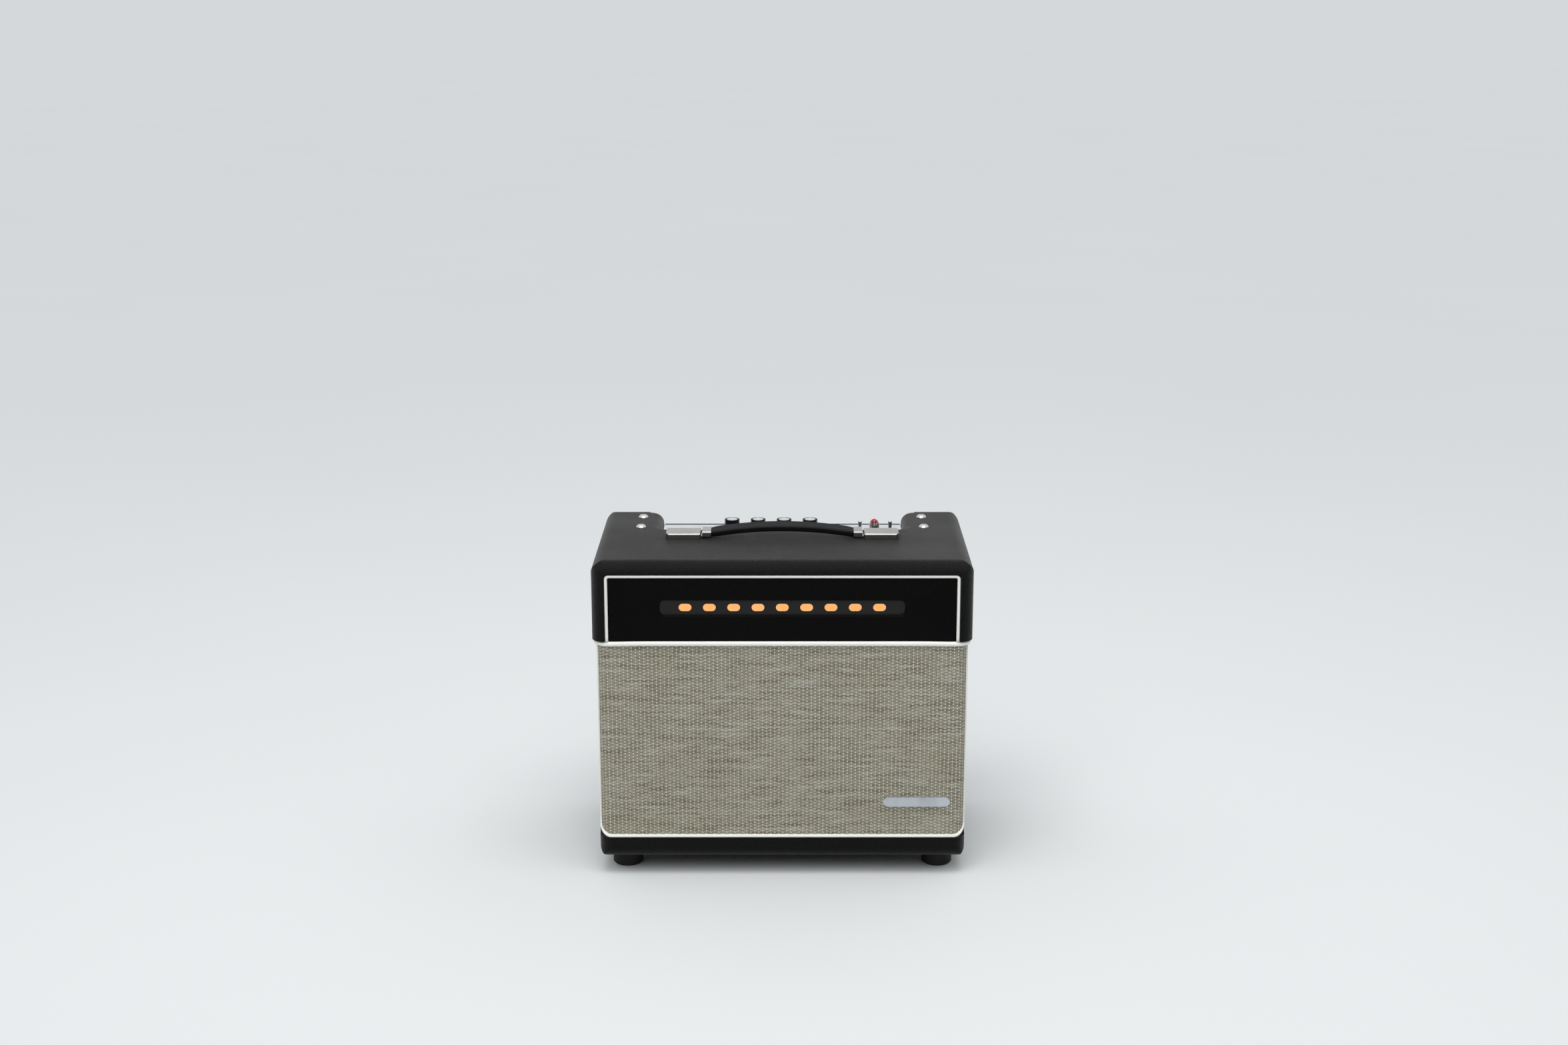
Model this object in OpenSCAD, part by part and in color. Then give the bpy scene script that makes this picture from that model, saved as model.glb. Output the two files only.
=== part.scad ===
// Small one-speaker valve guitar amplifier (combo).
// The front faces -Y, X is to the right, Z is up, and the origin is on the floor under the middle.

/* [Cabinet] */
// Width of the upper section
upper_w = 452; // [440:1:470]
// Width of the lower section between its outer faces
lower_w = 443; // [430:1:450]
// Depth of the cabinet, front to back
depth = 254; // [248:1:270]
// Height of the cabinet's top above the floor
top_z = 394; // [394:1:398]
// Height of the cabinet's underside above the floor
base_z = 22; // [18:1:22]
// Thickness of the top board
top_t = 15; // [13:1:16]
// Thickness of the side boards in the lower section
side_t = 13; // [11:1:15]
// Radius of the outer edges of the upper section
edge_r = 16; // [14:1:18]
// Radius of the base's outer bottom edges
base_r = 13; // [11:1:14]
// Height where the upper section ends and the waist piping starts
waist_z = 297; // [295:1:299]
// Top of the base's front rail
rail_z = 48; // [46:1:50]

/* [Grille] */
// Half width of the cloth panel at its widest
cloth_half = 219.6; // [217:0.1:219.6]
// Radius of the cloth panel's upright edges
cloth_r = 13.6; // [12:0.1:14]
// Radius of the panel's lower corners, seen from the front
cloth_corner_r = 12; // [10:1:14]
// Thickness of the cloth
cloth_t = 0.8; // [0.6:0.1:1]
// Diameter of the slim piping beads
bead_d = 4; // [3.6:0.1:4]
// Diameter of the waist piping
waist_d = 6; // [5.6:0.1:6]

/* [Fascia] */
// Length of the lit slot
slot_l = 290; // [260:1:300]
// Height of the lit slot
slot_h = 17.8; // [16:0.1:19]
// Height of the slot's centre above the floor
slot_z = 338.1; // [336:0.1:340]
// Spacing of the lit lozenges
mark_pitch = 28.7; // [26:0.1:30]
// Number of lit lozenges
mark_count = 9; // [5:1:9]

/* [Controls] */
// Half width of the control recess
recess_half = 151; // [149:1:152]
// Front wall of the control recess
recess_y = 38.8; // [38:0.1:39.5]
// Height of the control plate's face
plate_z = 380; // [379.5:0.1:380]
// Where the row of controls stands, front to back
control_y = 72.5; // [70:0.5:75]
// Position of the first knob
knob_x0 = -63.3; // [-64:0.1:-62]
// Spacing of the knobs
knob_pitch = 32.7; // [30:0.1:33]
// Diameter of a knob
knob_d = 19.5; // [18:0.5:20]
// Position of the standby switch
standby_x = 97.7; // [96:0.1:99]
// Position of the power switch
power_x = 135.5; // [133:0.1:136]
// Position of the pilot lamp
pilot_x = 115.6; // [114:0.1:117]
// Position of the input jack
jack_x = -115; // [-118:1:-110]
// Lean of a switch lever either way from upright
lever_lean = 12; // [8:1:13]

/* [Handle] */
// Where the handle stands, front to back
handle_y = -6; // [-9:1:-2]
// Outer end of a handle cap
cap_outer = 142.4; // [140:0.1:144]
// Inner end of a handle cap
cap_inner = 99.6; // [99.5:0.1:101]
// Depth of a handle cap, front to back
cap_depth = 30; // [26:1:32]
// Height of a handle cap
cap_h = 8; // [8:0.1:9]
// Width of the strap
strap_w = 26; // [22:1:28]
// Height of the strap's upper face at its middle
strap_top = 411.3; // [410.5:0.1:413]
// Thickness of the strap
strap_t = 7.2; // [6:0.1:7.4]
// How far the handle lifts before its band meets the caps
lift = 3.5; // [2:0.5:3.5]

/* [Speaker] */
// Outer diameter of the speaker
speaker_d = 256; // [252:1:258]
// Height of the speaker's centre above the floor
speaker_z = 171; // [170:1:174]

/* [Hidden] */
$fn = 64;
EPS = 0.01;
GAP = 0.1;
BIG = 600;
MITRE = 45;

front_y = -depth / 2;
back_y = depth / 2;
upper_half = upper_w / 2;
lower_half = lower_w / 2;
inner_half = lower_half - side_t;
fascia_half = upper_half - edge_r;
under_top_z = top_z - top_t;
waist_low_z = waist_z - waist_d;
bead_r = bead_d / 2;
waist_r = waist_d / 2;
waist_run_half = upper_half - 4.6;
base_front_y = front_y + 2;

// Front of the lower section: cloth, frame, then the boards' front edges.
cloth_y = front_y + 4;
frame_back_y = front_y + 21.6;
boards_y = front_y + 22;
bead_back_y = frame_back_y - 2;
cloth_back_y = cloth_y + cloth_r;
cloth_bottom_z = rail_z + bead_d + 0.4;
flange_t = 1;
baffle_t = 12;
baffle_back_y = boards_y + baffle_t;
baffle_top_z = 312;
speaker_hole_r = speaker_d / 2 - 14;
frame_border = 34;

// Fascia
fascia_y = front_y + 2.5;
fascia_t = 6;
fascia_back_y = fascia_y + fascia_t;
fascia_bead_x = fascia_half - bead_r;
fascia_bead_z = under_top_z - bead_r;
fascia_corner_r = 4;
mask_t = 1.5;
mask_y = fascia_y + 2.6;
mark_w = 15;
mark_h = 9;

// Recess
recess_corner_r = 14;
recess_edge_r = 12;
rear_edge_r = 8;
post_corner_r = 18;
plate_t = 1;
plate_half = recess_half - 0.6;
plate_front_y = recess_y + 0.6;

// Chassis
pan_half = 145;

pan_front_y = recess_y + 3;
pan_floor_z = 320;
pan_t = 1.5;
pan_top_z = plate_z - plate_t;
flange_half = 196;
hanger_t = 3;
tube_xs = [-112, -72, -28, 8, 44];
tube_y = 78;
chassis_screw_x = 176.3;
chassis_screw_ys = [45, 95];
m5_r = 2.5;
m5_hole_r = 2.7;
m5_tap_r = 2.55;

// Rear panels
rear_t = 5;
rear_inset = 14;
rear_y = back_y - rear_t - rear_inset;
rear_lip_y = rear_y + 2;
pan_back_y = rear_y - 0.5;
batten_w = 14;
batten_d = 16;
batten_top_z = 330;
rear_screw_x = inner_half - 10;
rear_screw_r = 1.9;
rear_screw_len = 14;
plate_back_y = rear_lip_y - GAP;
rear_upper_low_z = 268;
rear_upper_top_z = plate_z + 0.3;
rear_upper_screw_zs = [rear_upper_low_z + 10, rear_upper_low_z + 40];
rear_lower_top_z = 168;
rear_lower_screw_zs = [base_z + 24, rear_lower_top_z - 10];
inlet_x = 98;
inlet_z = 350;
inlet_w = 27.4;
inlet_h = 20;
inlet_flange_w = 40;
inlet_flange_h = 32;
inlet_depth = 30;

// Feet
foot_r = 18.5;
foot_x = 190;
foot_y = 81;
foot_screw_r = 2;

// Controls
shaft_r = 3;
pot_r = 8;
pot_h = 8;
bush_r = 3.5;
bush_top = 3.4;
thread_hole_r = 3.7;
hole_depth = 5;
pot_base_t = 1;
pot_lug_w = 12;
pot_lug_l = 8;
toggle_thread_r = 3;
toggle_body_w = 13;
toggle_body_h = 18;
toggle_nut_af = 8;
toggle_nut_t = 1.6;
pilot_thread_r = 5;
pilot_thread_len = 24;
jack_nut_af = 13;
jack_nut_t = 2.2;
jack_body_w = 16;
jack_thread_h = 3;
nut_t = 1.8;
nut_af = 10;
knob_gap = 3.9;
knob_top_z = 396.4;
knob_taper = 0.5;
knob_cap_seat = 1.2;
knob_cap_proud = 0.3;
knob_wall = 2.9;
index_w = 1.8;
knob_count = 4;
lever_pivot_z = plate_z + 2.2;
lever_tip_r = 2.5;
lever_root_r = 1.7;
lever_len = 12.7;
lever_ball_r = 2.2;
pilot_r = 6.3;
pilot_rim_z = 393;
pilot_shoulder_z = 389;
jewel_r = 4.85;
jewel_seat_z = plate_z + 3.2;
jewel_top_z = 396.8;
jack_bore_r = 3.25;
jack_r = 4.7;
jack_len = 26;

// Handle
ferrule_outer = 97.7;
ferrule_inner = 87;
band_t = 1.2;
band_w = 14;
band_z = top_z + 2.4;
cap_wall = 1.4;
strap_end_z = top_z + 2.6;

function knob_x(i) = knob_x0 + (i - 1) * knob_pitch;

// ---------- Helpers ----------

// A box from one corner to the opposite one.
module span(low, high) {
    translate(low) cube(high - low);
}

// Two copies, one each side of the YZ plane.
module both_sides() {
    children();
    mirror([1, 0, 0]) children();
}

// A 2D rectangle with its four corners rounded.
module round_rect(low, high, r) {
    union() {
        translate([low[0] + r, low[1]]) square([high[0] - low[0] - 2 * r, high[1] - low[1]]);
        translate([low[0], low[1] + r]) square([high[0] - low[0], high[1] - low[1] - 2 * r]);
        for (x = [low[0] + r, high[0] - r], y = [low[1] + r, high[1] - r])
            translate([x, y]) circle(r);
    }
}

// Turns a 2D shape drawn in X and Z into a solid between two depths.
module along_y(y_low, y_high) {
    translate([0, y_high, 0]) rotate([90, 0, 0]) linear_extrude(y_high - y_low) children();
}

// Turns a 2D shape drawn in Y and Z into a solid between two places across.
module along_x(x_low, x_high) {
    translate([x_low, 0, 0]) rotate([90, 0, 90]) linear_extrude(x_high - x_low) children();
}

// A cylinder along Y.
module rod_y(x, z, r, y_low, y_high) {
    translate([x, y_high, z]) rotate([90, 0, 0]) cylinder(r = r, h = y_high - y_low);
}

// A cylinder along X.
module rod_x(y, z, r, x_low, x_high) {
    translate([x_low, y, z]) rotate([0, 90, 0]) cylinder(r = r, h = x_high - x_low);
}

// ---------- Cabinet ----------

// Everything inside the upper section's rounded outline.
module upper_envelope() {
    intersection() {
        along_y(front_y, back_y)
            round_rect([-upper_half, waist_z - 2 * edge_r], [upper_half, top_z], edge_r);
        translate([0, 0, waist_z]) linear_extrude(top_z - waist_z)
            round_rect([-upper_half, front_y], [upper_half, back_y], edge_r);
        along_x(-upper_half, upper_half) union() {
            round_rect([front_y, waist_z - 2 * edge_r], [back_y - edge_r, top_z], edge_r);
            round_rect([front_y + 2 * edge_r, waist_z - 2 * edge_r], [back_y, top_z], rear_edge_r);
        }
    }
}

// Everything inside the lower section's rounded outline, from the base up to the waist.
module lower_envelope() {
    intersection() {
        along_y(base_front_y, back_y)
            round_rect([-lower_half, base_z], [lower_half, waist_z + 2 * base_r], base_r);
        translate([0, 0, base_z]) linear_extrude(waist_z - base_z)
            round_rect([-lower_half, base_front_y], [lower_half, back_y], edge_r);
        along_x(-lower_half, lower_half)
            round_rect([base_front_y, base_z], [back_y, waist_z + 2 * base_r], base_r);
    }
}

// The 45 degree joint between a side and the top: what lies on the right side's part of the corner.
module right_of_mitre(offset) {
    translate([fascia_half + offset, front_y - 1, under_top_z]) rotate([0, MITRE, 0])
        translate([0, 0, -BIG]) cube([BIG, depth + 2, 2 * BIG]);
}

// Cutter that rounds the recess's long edge; the wall is at the shape's left side.
module edge_profile(r) {
    difference() {
        translate([-1, -r]) square([r + 1, r + 1]);
        translate([r, -r]) circle(r);
    }
}

// The recess seen from above, open at the back.
module recess_outline() {
    union() {
        difference() {
            translate([-recess_half, recess_y]) square([2 * recess_half, back_y - recess_y + 1]);
            for (side = [-1, 1])
                translate([side * recess_half, recess_y])
                    square(2 * recess_corner_r, center = true);
        }
        translate([-recess_half + recess_corner_r, recess_y + recess_corner_r])
            circle(recess_corner_r);
        translate([recess_half - recess_corner_r, recess_y + recess_corner_r])
            circle(recess_corner_r);
    }
}

// The rounding along the recess's upper edge.
module recess_rounding() {
    straight = recess_half - recess_corner_r;
    along_x(-straight, straight) translate([recess_y, top_z]) mirror([1, 0])
        edge_profile(recess_edge_r);
    both_sides() {
        along_y(recess_y + recess_corner_r, back_y - post_corner_r + EPS)
            translate([recess_half, top_z]) edge_profile(recess_edge_r);
        translate([recess_half + post_corner_r, back_y - post_corner_r, top_z]) rotate([0, 0, 90])
            rotate_extrude(angle = 90) translate([post_corner_r, 0]) mirror([1, 0])
                edge_profile(recess_edge_r);
        translate([straight, recess_y + recess_corner_r, top_z]) rotate([0, 0, -90])
            rotate_extrude(angle = 90) translate([recess_corner_r, 0]) edge_profile(recess_edge_r);
    }
}

// The waste at a post's inner rear corner, as seen from above.
module post_corner_waste() {
    both_sides() translate([recess_half, back_y - post_corner_r, under_top_z - 1])
        linear_extrude(top_t + 2) difference() {
            translate([-1, 0]) square([post_corner_r + 1, post_corner_r + 1]);
            translate([post_corner_r, 0]) circle(post_corner_r);
        }
}

module chassis_screw_places() {
    for (y = chassis_screw_ys, side = [-1, 1])
        translate([side * chassis_screw_x, y, 0]) children();
}

module top_board() {
    color("#1c1b1d") difference() {
        intersection() {
            upper_envelope();
            span([-upper_half, front_y, under_top_z], [upper_half, back_y, top_z]);
        }
        both_sides() right_of_mitre(0);
        translate([0, 0, under_top_z - 1]) linear_extrude(top_t + 2) recess_outline();
        recess_rounding();
        post_corner_waste();
        chassis_screw_places() translate([0, 0, under_top_z - 1])
            cylinder(r = m5_hole_r, h = top_t + 2);
    }
}

// The right side board: one board, thicker above the waist, cut back in front of the grille.
module right_side_board() {
    difference() {
        union() {
            intersection() {
                upper_envelope();
                span([fascia_half, front_y, waist_z], [upper_half, back_y, top_z]);
            }
            intersection() {
                lower_envelope();
                span([inner_half, base_front_y, base_z], [lower_half, back_y, waist_z]);
            }
            span([inner_half, boards_y, waist_z - 1], [fascia_half + 1, back_y - edge_r, under_top_z]);
            // the batten the rear panels are screwed to
            span([inner_half - batten_w, rear_y - GAP - batten_d, base_z + 14 + GAP],
                [inner_half + 1, rear_y - GAP, batten_top_z]);
        }
        rear_screw_places(concat(rear_upper_screw_zs, rear_lower_screw_zs))
            rod_y(0, 0, rear_screw_r + EPS, rear_y - rear_screw_len, rear_y);
        // the corner past the mitre belongs to the top board
        difference() {
            span([inner_half - 1, front_y - 1, under_top_z], [upper_half + 1, back_y + 1, top_z + 1]);
            right_of_mitre(GAP / 4);
        }
        // room for the grille frame and the bead behind its edge
        span([inner_half - 1, front_y - 1, rail_z], [lower_half + 5, boards_y, waist_z]);
        // groove for the waist piping along the side
        span([waist_run_half - waist_r - GAP, boards_y - 1, waist_low_z - GAP],
            [upper_half + 1, back_y - edge_r + GAP, waist_z]);
    }
}

module right_side() {
    color("#1c1b1d") right_side_board();
}

module left_side() {
    color("#1c1b1d") mirror([1, 0, 0]) right_side_board();
}

module foot_places() {
    for (x = [-foot_x, foot_x], y = [-foot_y, foot_y]) translate([x, y, 0]) children();
}

module bottom_board() {
    board_t = 14;
    color("#1c1b1d") difference() {
        intersection() {
            lower_envelope();
            union() {
                span([-inner_half + GAP / 2, base_front_y, base_z],
                    [inner_half - GAP / 2, back_y, base_z + board_t]);
                span([-inner_half + GAP / 2, base_front_y, base_z],
                    [inner_half - GAP / 2, boards_y, rail_z]);
            }
        }
        foot_places() translate([0, 0, base_z - 1]) cylinder(r = foot_screw_r, h = board_t - 2);
    }
}

module speaker_bolt_places() {
    count = 8;
    for (i = [0 : count - 1])
        rotate([0, (i + 0.5) * 360 / count, 0]) children();
}

module baffle_board() {
    bolt_circle_r = speaker_d / 2 - 5.5;
    bolt_hole_r = 2.3;
    color("#8a6a48") difference() {
        span([-inner_half + GAP, boards_y + GAP, base_z + 14 + GAP],
            [inner_half - GAP, baffle_back_y, baffle_top_z]);
        rod_y(0, speaker_z, speaker_hole_r, front_y, baffle_back_y + 1);
        translate([0, 0, speaker_z]) speaker_bolt_places()
            rod_y(bolt_circle_r, 0, bolt_hole_r, front_y, baffle_back_y + 1);
    }
}

// The cloth panel's outline from the front: square above, rounded at its lower corners.
module panel_front(inset) {
    half = cloth_half - inset;
    low = cloth_bottom_z + inset;
    r = cloth_corner_r - inset;
    round_rect([-half, low], [half, waist_low_z + 2 * r], r);
}

// The cloth panel from above: a flat front with a quarter round at each end.
module panel_plan(inset) {
    half = cloth_half - inset;
    r = cloth_r - inset;
    round_rect([-half, cloth_y + inset], [half, cloth_y + inset + 2 * r + 4 * cloth_r], r);
}

// The stretched panel's solid shape, made smaller by an inset.
module panel_solid(inset, y_back) {
    intersection() {
        along_y(cloth_y, y_back) panel_front(inset);
        translate([0, 0, cloth_bottom_z]) linear_extrude(waist_low_z - cloth_bottom_z - GAP)
            panel_plan(inset);
    }
}

// Four rails: the top and bottom ones run the full width, and the upright ones stand between them.
module grille_frame() {
    window_half = cloth_half - frame_border;
    window_low = cloth_bottom_z + frame_border / 2;
    window_high = waist_low_z - frame_border / 2;
    step_y = cloth_y + 8;
    color("#2a2622") difference() {
        union() {
            panel_solid(cloth_t + EPS, cloth_back_y);
            span([-cloth_half + bead_d, step_y, cloth_bottom_z + bead_d + 1],
                [cloth_half - bead_d, frame_back_y, waist_low_z - GAP]);
        }
        span([-window_half, front_y, window_low], [window_half, boards_y, window_high]);
        // the butt joints between the rails
        for (side = [-1, 1], z = [window_low, window_high])
            translate([side * (window_half + frame_border / 2), boards_y, z])
                cube([frame_border + 2, 3 * frame_border, GAP / 2], center = true);
    }
}

module grille_cloth() {
    color("#96947f") difference() {
        panel_solid(0, cloth_back_y);
        panel_solid(cloth_t, cloth_back_y + 1);
    }
}

// A bead that follows the panel's edge down both sides and along the bottom.
module grille_piping() {
    front_r = cloth_corner_r + bead_r;
    color("#e6e5df") intersection() {
        along_y(front_y, boards_y) difference() {
            round_rect([-lower_half, rail_z + 0.4], [lower_half, waist_low_z + 2 * front_r], front_r);
            panel_front(-GAP / 2);
            translate([-BIG / 2, waist_low_z - GAP]) square([BIG, BIG]);
        }
        linear_extrude(top_z) difference() {
            round_rect([-lower_half, front_y + 1], [lower_half, front_y + 1 + BIG], edge_r);
            round_rect([-cloth_half + bead_d, front_y + 1 + bead_d], [cloth_half - bead_d, BIG],
                cloth_r - bead_r);
            translate([-BIG / 2, bead_back_y + 1.4]) square([BIG, BIG]);
        }
    }
}

// A bead in a horizontal plane round the front and both sides.
module waist_piping() {
    run_half = waist_run_half;
    run_front = front_y + 3.4;
    turn_r = edge_r - 2;
    rear = back_y - edge_r;
    color("#e6e5df") translate([0, 0, waist_z - waist_r]) {
        rod_x(run_front, 0, waist_r, -run_half + turn_r, run_half - turn_r);
        span([-run_half + turn_r, run_front, -flange_t / 2],
            [run_half - turn_r, boards_y, flange_t / 2]);
        both_sides() {
            rod_y(run_half, 0, waist_r, run_front + turn_r, rear);
            translate([run_half - turn_r, run_front + turn_r, 0]) rotate([0, 0, -90])
                rotate_extrude(angle = 90) translate([turn_r, 0]) circle(waist_r);
        }
    }
}

module slot_outline(grow) {
    round_rect([-slot_l / 2 - grow, slot_z - slot_h / 2 - grow],
        [slot_l / 2 + grow, slot_z + slot_h / 2 + grow], slot_h / 2 - 3 + grow);
}

module fascia_panel() {
    side = fascia_bead_x - bead_r;
    top = fascia_bead_z - bead_r;
    color("#141315") difference() {
        along_y(fascia_y, fascia_back_y) union() {
            round_rect([-side + GAP, waist_z + GAP], [side - GAP, top - GAP], fascia_corner_r - bead_r);
            translate([-side + GAP, waist_z + GAP]) square([2 * (side - GAP), slot_h]);
        }
        along_y(front_y, fascia_back_y + 1) slot_outline(0);
        along_y(mask_y, fascia_back_y + 1) slot_outline(4);
    }
}

// A bead shaped like an upside-down U, with its flat flange going back beside the fascia.
module fascia_piping() {
    x = fascia_bead_x - GAP;
    z = fascia_bead_z - GAP;
    y = front_y + bead_r + 0.3;
    r = fascia_corner_r;
    color("#e6e5df") {
        rod_x(y, z, bead_r, -x + r, x - r);
        both_sides() {
            translate([x, y, waist_z + GAP]) cylinder(r = bead_r, h = z - r - waist_z - GAP);
            translate([x - r, y, z - r]) rotate([90, 0, 0]) rotate_extrude(angle = 90)
                translate([r, 0]) circle(bead_r);
            span([x - flange_t / 2, y, waist_z + GAP], [x + flange_t / 2, fascia_back_y, z - r]);
        }
        span([-x + r, y, z - flange_t / 2], [x - r, fascia_back_y, z + flange_t / 2]);
    }
}

// The same upright lozenge at each place along the slot.
module mark_places() {
    for (i = [0 : mark_count - 1])
        translate([(i - (mark_count - 1) / 2) * mark_pitch, slot_z]) children();
}

module mark_outline(grow) {
    round_rect([-mark_w / 2 - grow, -mark_h / 2 - grow], [mark_w / 2 + grow, mark_h / 2 + grow],
        mark_h / 2 + grow - EPS);
}

module name_mask() {
    color("#0d0c0c") along_y(mask_y + EPS, mask_y + mask_t) difference() {
        slot_outline(3.8);
        mark_places() mark_outline(0.05);
    }
}

module name_lens() {
    lens_t = 1.6;
    color("#ffb66a") {
        along_y(mask_y + mask_t, mask_y + mask_t + lens_t) slot_outline(3.8);
        along_y(mask_y + 0.3, mask_y + mask_t + EPS) mark_places() mark_outline(0);
    }
}

module light_board() {
    board_y = mask_y + 8;
    board_t = 1.6;
    led_w = 3;
    color("#2c5a36") {
        span([-slot_l / 2 - 8, board_y, slot_z - 10], [slot_l / 2 + 8, board_y + board_t, slot_z + 10]);
        along_y(board_y - 1.5, board_y) mark_places() square(led_w, center = true);
    }
}

module badge() {
    badge_x = 162;
    badge_z = 94.4;
    badge_l = 80;
    badge_h = 12;
    pin_x = 30;
    color("#b9bec4") translate([badge_x, 0, badge_z]) {
        along_y(cloth_y - 2.2, cloth_y - GAP)
            round_rect([-badge_l / 2, -badge_h / 2], [badge_l / 2, badge_h / 2], badge_h / 2 - EPS);
        along_y(cloth_y - 3, cloth_y - 2)
            round_rect([-badge_l / 2 + 1.6, -badge_h / 2 + 1.6],
                [badge_l / 2 - 1.6, badge_h / 2 - 1.6], badge_h / 2 - 1.6 - EPS);
        for (x = [-pin_x, pin_x]) rod_y(x, 0, 1, cloth_y - 3.6, cloth_y - 2);
    }
}

// ---------- Rear ----------

// The screw places of a rear panel at given heights.
module rear_screw_places(heights) {
    for (x = [-rear_screw_x, rear_screw_x], z = heights) translate([x, 0, z]) children();
}

module rear_panel_upper() {
    color("#1c1b1d") difference() {
        union() {
            span([-inner_half + GAP, rear_y, rear_upper_low_z],
                [inner_half - GAP, rear_y + rear_t, under_top_z - GAP]);
            span([-recess_half + 1, rear_lip_y, under_top_z - 1],
                [recess_half - 1, rear_y + rear_t, rear_upper_top_z]);
        }
        along_y(rear_y - 1, back_y) translate([inlet_x, inlet_z])
            square([inlet_flange_w + 1, inlet_flange_h + 1], center = true);
        rear_screw_places(rear_upper_screw_zs) rod_y(0, 0, rear_screw_r + 0.3, rear_y - 1, back_y);
        // rows of vent slots over the valves
        for (i = [-6 : 6]) along_y(rear_y - 1, back_y)
            translate([i * 14, 296]) round_rect([-2.4, -16], [2.4, 16], 2.3);
    }
}

module rear_panel_lower() {
    color("#1c1b1d") difference() {
        span([-inner_half + GAP, rear_y, base_z + 14 + GAP],
            [inner_half - GAP, rear_y + rear_t, rear_lower_top_z]);
        rear_screw_places(rear_lower_screw_zs) rod_y(0, 0, rear_screw_r + 0.3, rear_y - 1, back_y);
    }
}

// One pan-head screw pointing along -Y, with its head's underside at y = 0.
module pan_screw(head_r, shank_r, len) {
    head_h = 1.9;
    rotate([-90, 0, 0]) difference() {
        union() {
            cylinder(r = head_r, h = head_h);
            translate([0, 0, -len]) cylinder(r = shank_r, h = len + EPS);
        }
        translate([0, 0, head_h - 1.2]) linear_extrude(2) {
            square([head_r * 1.2, 0.9], center = true);
            square([0.9, head_r * 1.2], center = true);
        }
    }
}

module cabinet_screws() {
    color("#2b2b2d") {
        rear_screw_places(concat(rear_upper_screw_zs, rear_lower_screw_zs))
            translate([0, rear_y + rear_t, 0]) pan_screw(4, rear_screw_r, rear_screw_len + 2);
        foot_places() translate([0, 0, 10]) rotate([-90, 0, 0]) pan_screw(4, rear_screw_r, 20);
    }
}

module feet() {
    lip = 2;
    color("#161616") foot_places() difference() {
        union() {
            translate([0, 0, lip]) cylinder(r = foot_r, h = base_z - lip);
            cylinder(r1 = foot_r - lip, r2 = foot_r, h = lip);
        }
        translate([0, 0, -1]) cylinder(r = 6, h = 11);
        translate([0, 0, 8]) cylinder(r = foot_screw_r, h = base_z);
    }
}

// ---------- Chassis and controls ----------

module tube_places() {
    for (x = tube_xs) translate([x, tube_y, pan_floor_z]) children();
}

module chassis() {
    color("#b7babd") difference() {
        union() {
            span([-pan_half, pan_front_y, pan_floor_z], [pan_half, pan_back_y, pan_top_z - GAP]);
            both_sides() span([pan_half - 1, pan_front_y - 12, under_top_z - hanger_t - GAP],
                [flange_half, pan_back_y, under_top_z - GAP]);
        }
        span([-pan_half + pan_t, pan_front_y + pan_t, pan_floor_z + pan_t],
            [pan_half - pan_t, pan_back_y - pan_t, top_z]);
        chassis_screw_places() translate([0, 0, under_top_z - 6]) cylinder(r = m5_tap_r, h = 8);
        tube_places() translate([0, 0, -1]) cylinder(r = 9.2, h = 4);
        along_y(pan_back_y - 4, back_y) translate([inlet_x, inlet_z])
            square([inlet_w + 0.4, inlet_h + 0.4], center = true);
    }
}

module control_plate() {
    color("#c9cccf") difference() {
        span([-plate_half, plate_front_y, plate_z - plate_t], [plate_half, plate_back_y, plate_z]);
        for (side = [-1, 1]) translate([side * recess_half, recess_y, plate_z - 3])
            difference() {
                cube([2 * recess_corner_r, 2 * recess_corner_r, 8], center = true);
                translate([-side * recess_corner_r, recess_corner_r, -5])
                    cylinder(r = recess_corner_r - 0.6, h = 12);
            }
        for (i = [1 : knob_count]) translate([knob_x(i), control_y, plate_z - 3])
            cylinder(r = thread_hole_r, h = hole_depth);
        for (x = [standby_x, power_x]) translate([x, control_y, plate_z - 3])
            cylinder(r = toggle_thread_r + 2 * GAP, h = hole_depth);
        translate([pilot_x, control_y, plate_z - 3])
            cylinder(r = pilot_thread_r + 2 * GAP, h = hole_depth);
        translate([jack_x, control_y, plate_z - 3]) cylinder(r = jack_r + GAP, h = hole_depth);
    }
}

// Dome-head screw with its head's underside at z = 0.
module dome_screw(head_r, head_h, shank_r, len) {
    dome_r = (head_r * head_r + head_h * head_h) / (2 * head_h);
    difference() {
        union() {
            intersection() {
                translate([0, 0, head_h - dome_r]) sphere(r = dome_r);
                cylinder(r = head_r, h = head_h + 1);
            }
            translate([0, 0, -len]) cylinder(r = shank_r, h = len + 0.2);
        }
        translate([0, 0, head_h - 1.6]) linear_extrude(3) {
            square([head_r * 0.75, 1.1], center = true);
            square([1.1, head_r * 0.75], center = true);
        }
    }
}

module chassis_screws() {
    color("#d6d8da") chassis_screw_places() translate([0, 0, top_z])
        dome_screw(6.25, 3.6, m5_r, 24);
}

module circuit_board() {
    board_z = pan_floor_z + 10;
    color("#3f6b45") {
        span([-128, pan_front_y + 5, board_z], [66, pan_front_y + 28, board_z + 1.6]);
        for (x = [-118, 56], y = [pan_front_y + 9, pan_front_y + 24])
            translate([x, y, pan_floor_z + pan_t]) cylinder(r = 2.5, h = board_z - pan_floor_z - pan_t);
        for (i = [0 : 3])
            translate([-96 + i * 20, pan_front_y + 16, board_z + 1.5]) cylinder(r = 7, h = 20);
        for (i = [0 : 4])
            rod_y(-8 + i * 12, board_z + 5, 3.4, pan_front_y + 8, pan_front_y + 24);
    }
}

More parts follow.
